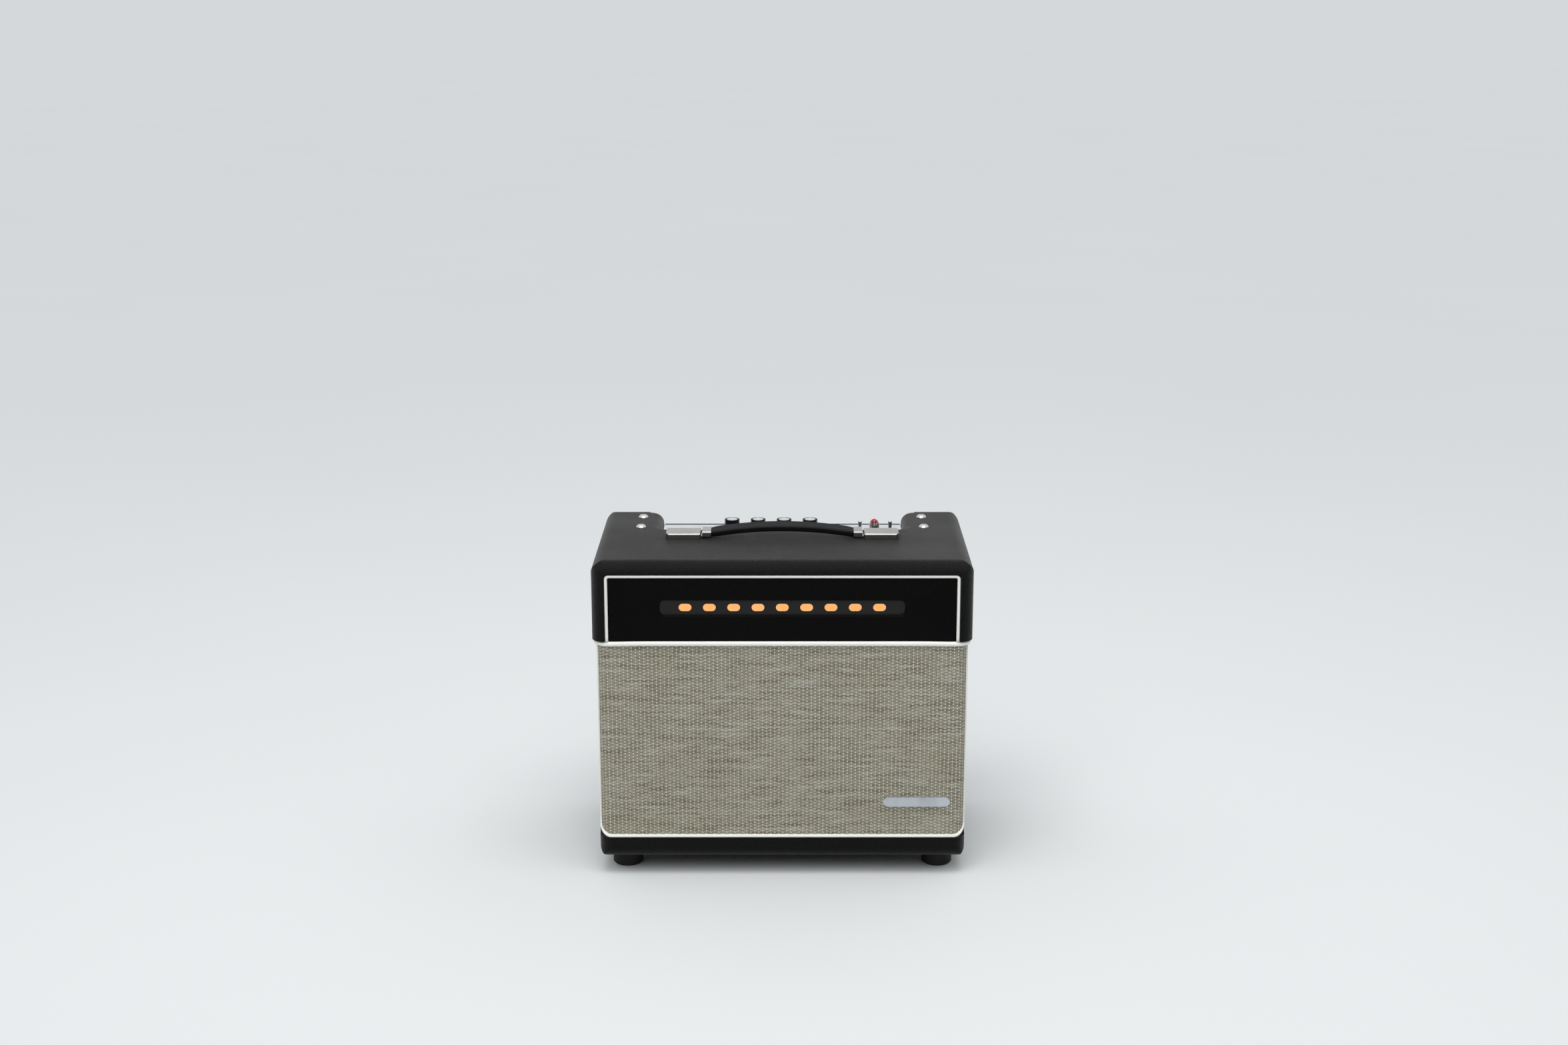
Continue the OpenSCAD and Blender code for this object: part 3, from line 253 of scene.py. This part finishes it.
def moulded(name, colour, rough=0.4, texture=700, bump=0.1, spec=0.5, coat=0.0):
    """Moulded plastic, rubber, ceramic or lacquer, with a fine surface and faint dust."""
    s = Shader(name, Specular_IOR_Level=spec, Coat_Weight=coat)
    place = s.coords()
    grain = s.noise(place, texture, 4.0, 0.6)
    dust = s.span(s.noise(place, 85, 5.0, 0.7), 0.55, 0.85)
    pale = tuple(min(1.0, c * 1.5 + 0.012) for c in colour[:3]) + (1.0,)
    s.feed("Base Color", s.mix(s.math("MULTIPLY", dust, 0.6), colour, pale))
    s.feed("Roughness", s.math("MULTIPLY_ADD", grain, 0.22, rough - 0.1, clamp=True))
    s.bump(grain, bump, 0.0002)
    return s.material


def plywood(name, light, dark):
    """Sawn board with long grain along X."""
    s = Shader(name, Roughness=0.7)
    place = s.coords((2.2, 18, 34))
    rings = s.noise(place, 5.0, 6.0, 0.6, 1.2)
    pores = s.noise(s.coords((20, 260, 420)), 3.0, 3.0)
    colour = s.mix(rings, light, dark)
    s.feed("Base Color", s.mix(s.math("MULTIPLY", s.span(pores, 0.6, 0.8), 0.4), colour, dark))
    s.bump(pores, 0.2, 0.0003)
    return s.material


def cone_paper():
    """Felted paper with shallow pressed rings about the speaker's axis."""
    s = Shader("cone_paper", Roughness=0.85, Specular_IOR_Level=0.2)
    low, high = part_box("speaker_cone")
    middle = (low + high) / 2
    place = s.node("VectorMath", {0: s.coords(), 1: tuple(middle)}, operation="SUBTRACT").outputs[0]
    apart = s.node("SeparateXYZ", {0: place})
    reach = s.math("SQRT", s.math("ADD", s.math("POWER", apart.outputs[0], 2.0),
                                  s.math("POWER", apart.outputs[2], 2.0)))
    rings = s.math("SINE", s.math("MULTIPLY", reach, 900.0))
    fibre = s.noise(place, 900, 5.0, 0.7)
    s.feed("Base Color", s.mix(fibre, rgb(34, 32, 31), rgb(62, 58, 54)))
    s.bump(s.math("MULTIPLY_ADD", rings, 0.5, fibre), 0.35, 0.0005)
    return s.material


def wound_copper():
    """Fine turns of copper wire."""
    s = Shader("wound_copper", Metallic=1.0, Roughness=0.35)
    place = s.coords((1, 2200, 1))
    turns = s.noise(place, 2.0, 1.0)
    s.feed("Base Color", s.mix(turns, rgb(176, 96, 52), rgb(120, 60, 32)))
    s.bump(turns, 0.4, 0.0002)
    return s.material


def spider_cloth():
    """Stiff amber cloth of an open weave."""
    s = Shader("spider_cloth", Roughness=0.8)
    place = s.coords()
    weave = s.voronoi(place, 900, feature="F1", randomness=0.2)
    s.feed("Base Color", s.mix(weave, rgb(196, 160, 92), rgb(150, 112, 58)))
    s.bump(weave, 0.4, 0.0003)
    return s.material


def circuit_green():
    """Green board with pale printed lanes."""
    s = Shader("circuit_green", Roughness=0.4)
    place = s.coords()
    lanes = s.span(s.voronoi(s.scaled(place, (1, 1, 0.2)), 170, randomness=0.4), 0.04, 0.07)
    s.feed("Base Color", s.mix(lanes, rgb(64, 120, 74), rgb(24, 66, 38)))
    s.bump(lanes, 0.2, 0.0001)
    return s.material


def valve_glass():
    """Clear glass with a silvered flash in places."""
    s = Shader("valve_glass", Roughness=0.03, IOR=1.47, Transmission_Weight=0.85)
    place = s.coords()
    silvering = s.span(s.noise(place, 70, 3.0), 0.5, 0.8)
    s.feed("Base Color", s.mix(silvering, rgb(222, 230, 232), rgb(110, 116, 120)))
    s.bump(s.noise(place, 30, 2.0), 0.05, 0.0005)
    return s.material


def jewel_red():
    """Cut red glass lit from below."""
    s = Shader("jewel_red", Roughness=0.06, IOR=1.52, Transmission_Weight=0.15, Coat_Weight=0.25,
               Emission_Strength=0.3)
    place = s.coords()
    depth = s.noise(place, 420, 2.0)
    s.feed("Base Color", s.mix(depth, rgb(140, 4, 24), rgb(60, 1, 8)))
    s.feed("Emission Color", s.mix(depth, rgb(224, 8, 38), rgb(112, 1, 16)))
    return s.material


def lit_amber():
    """Warm translucent strip, a little brighter in places."""
    s = Shader("lit_amber", Roughness=0.5, Emission_Strength=0.82)
    glow = s.noise(s.coords(), 60, 2.0)
    s.feed("Base Color", s.mix(glow, rgb(150, 84, 40), rgb(130, 66, 28)))
    s.feed("Emission Color", s.mix(glow, rgb(255, 196, 124), rgb(254, 176, 100)))
    return s.material


TOLEX = leathercloth("leathercloth")
# the fascia's covering is the leathercloth made darker: painted shade for the front face, which gets
# less light than the top
SHADED_FASCIA = leathercloth("fascia_leathercloth", tone=0.72, grain=0.7, shine=0.06, sheen=0.0)
PIPING = piping_vinyl()
NICKEL = metal("polished_nickel", rgb(222, 218, 210), rough=0.10, scratch=0.10)
# a darker copy of the polished nickel for the handle caps and ferrules: painted shade for the dim
# surroundings they reflect
SHADED_CAP_NICKEL = metal("cap_nickel_painted_shade", rgb(176, 174, 169), rough=0.12, scratch=0.12)
CHROME = metal("mirror_chrome", rgb(234, 236, 240), rough=0.02, scratch=0.04, bump=0.01)
PLATED = metal("zinc_plate", rgb(178, 180, 182),
               rough=0.32, scratch=0.2, stretch=(1, 6, 1), bump=0.1)
BRUSHED = metal("brushed_badge", rgb(206, 211, 217),
                rough=0.26, scratch=0.22, stretch=(0.05, 1, 2.4), bump=0.2)
BRASS = metal("turned_brass", rgb(206, 176, 110), rough=0.25, scratch=0.15)
RUBBER = moulded("moulded_rubber", rgb(22, 22, 22), rough=0.62, texture=500, bump=0.2, spec=0.3)
STRAP = moulded("strap_rubber", rgb(12, 12, 12), rough=0.46, texture=900, bump=0.16, spec=0.13)
KNOB = moulded("knob_black", rgb(14, 14, 15),
               rough=0.22, texture=300, bump=0.05, spec=0.5, coat=0.3)
RIM = moulded("knob_rim_black", rgb(11, 11, 12), rough=0.6, texture=600, bump=0.15, spec=0.12)
SOOT = moulded("mask_black", rgb(13, 12, 12), rough=0.38, texture=900, bump=0.1)
ENAMEL = moulded("black_enamel", rgb(30, 31, 33), rough=0.38, texture=240, bump=0.15, spec=0.5)
LACQUER = moulded("grey_lacquer", rgb(72, 74, 78), rough=0.4, texture=300, bump=0.12)
CERAMIC = moulded("glazed_ceramic", rgb(222, 218, 206),
                  rough=0.25, texture=200, bump=0.08, spec=0.5, coat=0.4)
SILVER = spun_silver()
CONE = cone_paper()

NODE_MATERIAL = {
    "baffle_board": plywood("birch_ply", rgb(206, 168, 118), rgb(150, 108, 66)),
    "grille_frame": plywood("stained_wood", rgb(52, 44, 36), rgb(28, 22, 18)),
    "name_mask": moulded("name_mask_black", rgb(18, 17, 18),
                         rough=0.5, texture=900, bump=0.1, spec=0.3),
    "name_lens": lit_amber(), "badge": BRUSHED, "cabinet_screws": ENAMEL,
    "feet": RUBBER, "chassis": PLATED, "control_plate": CHROME, "chassis_screws": NICKEL,
    "pots": PLATED, "control_nuts": NICKEL, "toggle_bodies": PLATED, "standby_lever": NICKEL,
    "power_lever": NICKEL, "pilot_bezel": NICKEL, "input_jack": PLATED, "handle_caps": SHADED_CAP_NICKEL,
    "handle_screws": NICKEL, "handle_ferrules": SHADED_CAP_NICKEL, "speaker_basket": ENAMEL,
    "speaker_magnet": LACQUER, "speaker_cone": CONE, "speaker_surround": CONE, "dust_cap": CONE,
    "spider": spider_cloth(), "voice_coil": wound_copper(), "speaker_bolts": PLATED,
    "transformers": ENAMEL, "mains_inlet": SOOT, "tube_sockets": CERAMIC,
}
GREEN = circuit_green()
GLASS = valve_glass()
for node_name, node_object in NODES.items():
    if node_name.startswith("knob_cap"):
        chosen = SILVER
    elif node_name.startswith("knob"):
        chosen = KNOB
    elif node_name.startswith("pot_shaft"):
        chosen = BRASS
    elif node_name.endswith("_tubes"):
        chosen = GLASS
    elif node_name in ("light_board", "circuit_board"):
        chosen = GREEN
    else:
        chosen = NODE_MATERIAL.get(node_name, TOLEX)
    node_object.data.materials.clear()
    node_object.data.materials.append(chosen)

# ---------------------------------------------------------------- mesh helpers


def piece(name, points, faces, material, smooth=True):
    """A new mesh object from points and faces."""
    mesh = bpy.data.meshes.new(name)
    mesh.from_pydata([tuple(p) for p in points], [], faces)
    mesh.materials.append(material)
    mesh.polygons.foreach_set("use_smooth", [smooth] * len(mesh.polygons))
    mesh.update()
    made = bpy.data.objects.new(name, mesh)
    bpy.context.scene.collection.objects.link(made)
    return made


def grid_faces(rows, columns, around=False):
    """Quads of a grid of points stored row by row."""
    faces = []
    for row in range(rows - 1):
        for column in range(columns if around else columns - 1):
            after = (column + 1) % columns
            faces.append((row * columns + column, row * columns + after,
                          (row + 1) * columns + after, (row + 1) * columns + column))
    return faces


def arc(centre, radius, start, end, count):
    """Points on a circular arc in a plane, by angle in degrees."""
    angles = np.radians(np.linspace(start, end, count))
    return [(centre[0] + radius * math.cos(a), centre[1] + radius * math.sin(a)) for a in angles]


def tube(name, path, radius, material, sides=20):
    """A round bead swept along a path of points, closed at both ends."""
    path = np.array(path, float)
    ahead = np.gradient(path, axis=0)
    ahead /= np.linalg.norm(ahead, axis=1)[:, None]
    side = np.cross(ahead[0], (0.0, 1.0, 0.0))
    if np.linalg.norm(side) < 0.1:
        side = np.cross(ahead[0], (0.0, 0.0, 1.0))
    points = []
    for place, direction in zip(path, ahead):
        side = side - direction * np.dot(side, direction)
        side /= np.linalg.norm(side)
        up = np.cross(direction, side)
        for i in range(sides):
            turn = 2 * math.pi * i / sides
            points.append(place + radius * (math.cos(turn) * side + math.sin(turn) * up))
    faces = grid_faces(len(path), sides, around=True)
    last = (len(path) - 1) * sides
    faces.append(tuple(reversed(range(sides))))
    faces.append(tuple(range(last, last + sides)))
    made = piece(name, points, faces, material)
    recalculate(made)
    return made


def recalculate(made):
    """Turns every face outwards."""
    work = bmesh.new()
    work.from_mesh(made.data)
    bmesh.ops.recalc_face_normals(work, faces=work.faces)
    work.to_mesh(made.data)
    work.free()


# ---------------------------------------------------------------- grille cloth

frame_low, frame_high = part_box("grille_cloth")
CLOTH_HALF = frame_high.x
CLOTH_FRONT = frame_low.y
CLOTH_LOW = frame_low.z
CLOTH_HIGH = frame_high.z
EDGE_R = frame_high.y - frame_low.y
CORNER_R = 12 * MM
FLAT_HALF = CLOTH_HALF - EDGE_R
ARC_LENGTH = EDGE_R * math.pi / 2
HALF_LENGTH = FLAT_HALF + ARC_LENGTH


def on_panel(length):
    """Where a point lies, across and front to back, at a length along the panel from its middle."""
    past = abs(length) - FLAT_HALF
    if past <= 0:
        return length, CLOTH_FRONT, 0.0
    turn = past / EDGE_R
    across = FLAT_HALF + EDGE_R * math.sin(turn)
    return math.copysign(across, length), CLOTH_FRONT + EDGE_R * (1 - math.cos(turn)), turn


def half_length_at(height):
    """How far along the panel the cloth reaches at a height, inside the rounded lower corners."""
    up = height - CLOTH_LOW
    if up >= CORNER_R:
        return HALF_LENGTH
    across = CLOTH_HALF - CORNER_R + math.sqrt(max(0.0, CORNER_R**2 - (CORNER_R - up) ** 2))
    return FLAT_HALF + EDGE_R * math.asin(min(1.0, (across - FLAT_HALF) / EDGE_R))


def make_cloth():
    """The woven sheet over the panel, with its ribs in the mesh and its weave in the material."""
    columns = 470
    rows = 250
    relief = 0.1 * MM
    points = []
    weave = []
    for row in range(rows):
        height = CLOTH_LOW + (CLOTH_HIGH - CLOTH_LOW) * row / (rows - 1)
        reach = half_length_at(height)
        for column in range(columns):
            length = reach * (2 * column / (columns - 1) - 1)
            x, y, turn = on_panel(length)
            rib = 0.5 * math.cos(2 * math.pi * (length / WEAVE_U - 0.16))
            rib += 0.5 * math.cos(2 * math.pi * (height / WEAVE_V - 0.5))
            rise = relief * (rib - 1) / 2
            points.append((x + rise * math.sin(turn) * math.copysign(1, length),
                           y - rise * math.cos(turn), height))
            weave.append((length, height, 0.0))
    made = piece("grille_cloth_sheet", points, grid_faces(rows, columns), grille_weave())
    store = made.data.attributes.new(WEAVE_ATTRIBUTE, "FLOAT_VECTOR", "POINT")
    store.data.foreach_set("vector", [c for w in weave for c in w])
    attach(made, "cabinet")
    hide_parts("grille_cloth")


make_cloth()

# ---------------------------------------------------------------- piping

BEAD_R = 2 * MM


def grille_bead_depth(x):
    """Front to back, the bead follows the panel's rounded edge."""
    past = max(0.0, abs(x) - FLAT_HALF) / EDGE_R
    proud = 0.6 * MM
    round_r = EDGE_R + BEAD_R + proud
    return CLOTH_FRONT + EDGE_R + BEAD_R - round_r * math.sqrt(max(0.0, 1 - past**2))


def make_grille_piping():
    """The bead down both sides of the cloth and along its bottom."""
    low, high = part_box("grille_piping")
    bottom = low.z + BEAD_R
    outline = [(CLOTH_HALF, z) for z in np.linspace(high.z, bottom + CORNER_R, 24, endpoint=False)]
    outline += arc((CLOTH_HALF - CORNER_R, bottom + CORNER_R), CORNER_R, 0, -90, 26)[:-1]
    across = np.linspace(CLOTH_HALF - CORNER_R, 0, 24)
    outline += [(x, bottom) for x in across]
    right = [(x, grille_bead_depth(x), z) for x, z in outline]
    left = [(-x, y, z) for x, y, z in reversed(right[:-1])]
    made = tube("grille_bead", right + left, BEAD_R, PIPING)
    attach(made, "cabinet")
    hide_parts("grille_piping")


def make_waist_piping():
    """The bead round the front and sides under the wide upper part, a little low at its corners."""
    low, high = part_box("waist_piping")
    radius = (high.z - low.z) / 2
    half = high.x - radius
    front = low.y + radius
    turn = 14 * MM
    plan = [(half, y) for y in np.linspace(high.y, front + turn, 30, endpoint=False)]
    plan += arc((half - turn, front + turn), turn, 0, -90, 22)[:-1]
    plan += [(x, front) for x in np.linspace(half - turn, 0, 40)]
    middle_z = (low.z + high.z) / 2
    sag = 0.5 * MM
    sag_x = 200 * MM
    sag_spread = 20 * MM
    right = []
    for x, y in plan:
        right.append((x, y, middle_z - sag * math.exp(-((x - sag_x) / sag_spread) ** 2)))
    left = [(-x, y, z) for x, y, z in reversed(right[:-1])]
    made = tube("waist_bead", right + left, radius, PIPING, 24)
    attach(made, "cabinet")
    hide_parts("waist_piping")


def make_fascia_piping():
    """The bead up both sides of the fascia and along its top."""
    low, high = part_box("fascia_piping")
    x = high.x - BEAD_R
    top = high.z - BEAD_R
    y = low.y + BEAD_R
    turn = 4 * MM
    outline = [(x, z) for z in np.linspace(low.z, top - turn, 16, endpoint=False)]
    outline += arc((x - turn, top - turn), turn, 0, 90, 12)[:-1]
    outline += [(across, top) for across in np.linspace(x - turn, 0, 24)]
    right = [(across, y, z) for across, z in outline]
    left = [(-across, y, z) for across, y, z in reversed(right[:-1])]
    made = tube("fascia_bead", right + left, BEAD_R, PIPING)
    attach(made, "cabinet")
    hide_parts("fascia_piping")


make_grille_piping()
make_waist_piping()
make_fascia_piping()

# ---------------------------------------------------------------- fascia


def rounded_loop(half_w, low, high, radius, y, steps=10):
    """Points round a rectangle with rounded corners, in the plane of the fascia."""
    points = []
    corners = [((half_w - radius, high - radius), 0), ((-half_w + radius, high - radius), 90),
               ((-half_w + radius, low + radius), 180), ((half_w - radius, low + radius), 270)]
    for centre, start in corners:
        points += [(x, y, z) for x, z in arc(centre, radius, start, start + 90, steps)]
    return points


def make_fascia():
    """The covered front panel, with the covering rolled into its slot and a faint ridge round it."""
    low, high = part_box("fascia_panel")
    slot_half = 145 * MM
    slot_low = 329.2 * MM
    slot_high = 347.0 * MM
    slot_r = 5.9 * MM
    roll_r = 2.4
    slot_depth = 3.4
    # the outer edge: how far in from the panel's outline, and how far behind its front
    edge_r = 2 * MM
    loops = [rounded_loop(high.x, low.z, high.z, edge_r, high.y)]
    for inset, behind in ((0.0, 1.0), (0.3, 0.3), (1.0, 0.0)):
        i = inset * MM
        loops.append(rounded_loop(high.x - i, low.z + i, high.z - i, edge_r, low.y + behind * MM))
    front_rim = len(loops) - 1
    # the slot: how far out from its outline, and how far behind the front; a ridge, then the roll
    inner = [(6.4, 0.0), (5.4, -0.28), (4.6, -0.42), (3.8, -0.28), (3.0, 0.0)]
    for turn in np.linspace(0, math.pi / 2, 9):
        inner.append((roll_r * (1 - math.sin(turn)), roll_r * (1 - math.cos(turn))))
    inner.append((0.0, slot_depth))
    for grow, behind in inner:
        g = grow * MM
        y = low.y + behind * MM
        loops.append(rounded_loop(slot_half + g, slot_low - g, slot_high + g, slot_r + g, y))
    count = len(loops[0])
    points = [p for loop in loops for p in loop]
    faces = []
    for i in range(len(loops) - 1):
        if i == front_rim:
            continue
        here, beyond = i * count, (i + 1) * count
        for a in range(count):
            b = (a + 1) % count
            faces.append((here + a, here + b, beyond + b, beyond + a))
    made = piece("fascia_cover", points, faces, SHADED_FASCIA)
    work = bmesh.new()
    work.from_mesh(made.data)
    work.verts.ensure_lookup_table()
    # the flat front lies between the outer edge's last loop and the ridge's first
    rim = []
    for start in (front_rim * count, (front_rim + 1) * count):
        for a in range(count):
            pair = (work.verts[start + a], work.verts[start + (a + 1) % count])
            rim.append(work.edges.get(pair))
    filled = bmesh.ops.triangle_fill(work, edges=rim, use_beauty=True)
    for face in filled["geom"]:
        if isinstance(face, bmesh.types.BMFace):
            face.smooth = True
    bmesh.ops.recalc_face_normals(work, faces=work.faces)
    work.to_mesh(made.data)
    work.free()
    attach(made, "cabinet")
    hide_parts("fascia_panel")


make_fascia()

# ---------------------------------------------------------------- handle strap


def make_strap():
    """A ribbed strap: its section swept along the arch, a little slimmer near the ferrules."""
    low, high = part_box("handle_strap")
    half = high.x
    middle_y = (low.y + high.y) / 2
    half_w = (high.y - low.y) / 2
    thick = 7.2 * MM
    drop = high.z - thick - low.z
    radius = (half * half + drop * drop) / (2 * drop)
    centre_z = high.z - thick - radius
    rows = 72
    upper_r = 2.6 * MM
    lower_r = 1.4 * MM
    groove_depth = 0.5 * MM
    grooves = 4
    # the section: upper corner, grooved top, upper corner, then the two lower corners
    flat = half_w - upper_r
    section = arc((flat, thick - upper_r), upper_r, 0, 90, 8)
    for y in np.linspace(flat, -flat, 40)[1:-1]:
        share = (y + flat) / (2 * flat)
        groove = groove_depth * (0.5 - 0.5 * math.cos(2 * math.pi * share * grooves))
        section.append((y, thick - groove))
    section += arc((-flat, thick - upper_r), upper_r, 90, 180, 8)
    section += arc((-half_w + lower_r, lower_r), lower_r, 180, 270, 8)
    section += arc((half_w - lower_r, lower_r), lower_r, 270, 360, 8)
    points = []
    limit = math.asin(half / radius)
    for row in range(rows):
        turn = -limit + 2 * limit * row / (rows - 1)
        # 0 along the strap, rising to 1 over the last tenth at each end
        near_end = max(0.0, abs(turn) / limit - 0.9) / 0.1
        narrow = 1 - 0.10 * near_end
        thin = 1 - 0.08 * near_end
        for y, up in section:
            out = radius + up * thin
            points.append((out * math.sin(turn), middle_y + y * narrow,
                           centre_z + out * math.cos(turn)))
    count = len(section)
    faces = grid_faces(rows, count, around=True)
    faces.append(tuple(reversed(range(count))))
    faces.append(tuple(range((rows - 1) * count, rows * count)))
    made = piece("strap_ribbed", points, faces, STRAP)
    recalculate(made)
    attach(made, "handle")
    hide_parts("handle_strap")


make_strap()

# ---------------------------------------------------------------- knob rims and the jewel

KNOB_TAPER = 0.5 * MM
INDEX_W = 1.8 * MM


def make_knob_rim(index):
    """A low crowned rim round a knob's silver top, open where the silver index crosses it."""
    disc_low, disc_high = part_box(f"knob_cap_{index}")
    low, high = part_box(f"knob_{index}")
    middle = (low + high) / 2
    inner = (disc_high.x - disc_low.x) / 2
    outer = (high.x - low.x) / 2 - KNOB_TAPER
    crown = 0.35 * MM
    root = high.z - 0.1 * MM
    section = [(inner, root)]
    for share in np.linspace(0, 1, 11):
        rise = crown * math.sqrt(max(0.0, 1 - (2 * share - 1) ** 2))
        section.append((inner + (outer - inner) * share, high.z + rise))
    section.append((outer, root))
    gap = math.asin(INDEX_W / 2 / outer)
    rows = 96
    points = []
    for turn in np.linspace(math.pi / 2 + gap, 5 * math.pi / 2 - gap, rows):
        points += [(middle.x + r * math.cos(turn), middle.y + r * math.sin(turn), z) for r, z in section]
    count = len(section)
    faces = grid_faces(rows, count, around=True)
    faces.append(tuple(reversed(range(count))))
    faces.append(tuple(range((rows - 1) * count, rows * count)))
    made = piece(f"knob_rim_{index}", points, faces, RIM)
    recalculate(made)
    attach(made, f"control_{index}")


for number in range(1, 5):
    make_knob_rim(number)


def make_jewel():
    """Cut glass: rings of flat facets that close in a small table on top."""
    low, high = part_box("pilot_jewel")
    middle = (low + high) / 2
    radius = (high.x - low.x) / 2
    sides = 10
    # the height of each ring, and its share of the full radius
    levels = [(low.z, 1.0), (high.z - 3.7 * MM, 1.0), (high.z - 1.9 * MM, 0.84),
              (high.z - 0.6 * MM, 0.5), (high.z, 0.2)]
    points = []
    for row, (z, share) in enumerate(levels):
        for i in range(sides):
            turn = 2 * math.pi * (i + 0.5 * (row % 2)) / sides
            points.append((middle.x + radius * share * math.cos(turn),
                           middle.y + radius * share * math.sin(turn), z))
    faces = []
    for row in range(len(levels) - 1):
        for i in range(sides):
            after = (i + 1) % sides
            a, b = row * sides + i, row * sides + after
            c, d = (row + 1) * sides + after, (row + 1) * sides + i
            faces += [(a, b, d), (b, c, d)] if row % 2 == 0 else [(a, b, c), (a, c, d)]
    faces.append(tuple(reversed(range(sides))))
    faces.append(tuple(range((len(levels) - 1) * sides, len(levels) * sides)))
    made = piece("jewel_cut", points, faces, jewel_red(), smooth=False)
    recalculate(made)
    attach(made, "cabinet")
    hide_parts("pilot_jewel")


make_jewel()

# ---------------------------------------------------------------- floor, light and camera


def make_floor():
    """A plain pale floor that runs out of sight."""
    size = 300.0
    points = [(-size, -size, 0), (size, -size, 0), (size, size, 0), (-size, size, 0)]
    s = Shader("studio_floor", Roughness=0.8, Specular_IOR_Level=0.1)
    tone = s.noise(s.coords(), 1.2, 2.0)
    s.feed("Base Color", s.mix(tone, rgb(214, 216, 216), rgb(211, 213, 213)))
    floor = piece("studio_floor", points, [(0, 1, 2, 3)], s.material)


def make_light(name, place, aim, size, power):
    """A rectangular soft box at a place, facing what it aims at."""
    data = bpy.data.lights.new(name, "AREA")
    data.shape = "RECTANGLE"
    data.size, data.size_y = size
    data.energy = power
    made = bpy.data.objects.new(name, data)
    made.location = place
    made.rotation_euler = (Vector(aim) - Vector(place)).to_track_quat("-Z", "Y").to_euler()
    bpy.context.scene.collection.objects.link(made)


def make_sun(name, lean, turn, strength, softness):
    """A distant soft light: lean from overhead and turn about the vertical, in degrees."""
    data = bpy.data.lights.new(name, "SUN")
    data.energy = strength
    data.angle = math.radians(softness)
    made = bpy.data.objects.new(name, data)
    made.rotation_euler = (math.radians(lean), 0, math.radians(turn))
    bpy.context.scene.collection.objects.link(made)


def make_stage():
    """The floor, two soft suns, a soft box overhead and the studio around them."""
    make_floor()
    make_sun("key", 40, -12, 1.2, 50)
    make_sun("top", 6, 30, 0.1, 90)
    make_light("overhead", (0.0, -0.55, 2.2), (0.0, -0.1, 0.3), (1.6, 0.8), 16)
    make_world()


def make_world():
    """The studio around: bright above and behind, and dim on the viewer's side."""
    world = bpy.data.worlds.new("studio")
    world.use_nodes = True
    tree = world.node_tree
    background = tree.nodes["Background"]
    background.inputs["Color"].default_value = rgb(246, 249, 252)
    apart = tree.nodes.new("ShaderNodeSeparateXYZ")
    tree.links.new(tree.nodes.new("ShaderNodeTexCoord").outputs["Generated"], apart.inputs[0])
    lean = tree.nodes.new("ShaderNodeMath")
    lean.operation = "MULTIPLY_ADD"
    lean.inputs[1].default_value = 0.7
    tree.links.new(apart.outputs["Y"], lean.inputs[0])
    tree.links.new(apart.outputs["Z"], lean.inputs[2])
    level = tree.nodes.new("ShaderNodeMapRange")
    level.inputs["From Min"].default_value = -0.45
    level.inputs["From Max"].default_value = 0.75
    level.inputs["To Min"].default_value = 0.10
    level.inputs["To Max"].default_value = 0.85
    tree.links.new(lean.outputs[0], level.inputs["Value"])
    tree.links.new(level.outputs[0], background.inputs["Strength"])
    bpy.context.scene.world = world


def make_camera():
    """The camera at the photograph's viewing angle."""
    data = bpy.data.cameras.new("photo_view")
    data.lens = 50
    data.sensor_width = 36
    camera = bpy.data.objects.new("photo_view", data)
    camera.location = (0.002, -2.587, 1.070)
    camera.rotation_euler = (math.radians(75.7), 0, 0)
    bpy.context.scene.collection.objects.link(camera)
    bpy.context.scene.camera = camera


make_stage()
make_camera()
bpy.context.scene.view_settings.view_transform = "Standard"
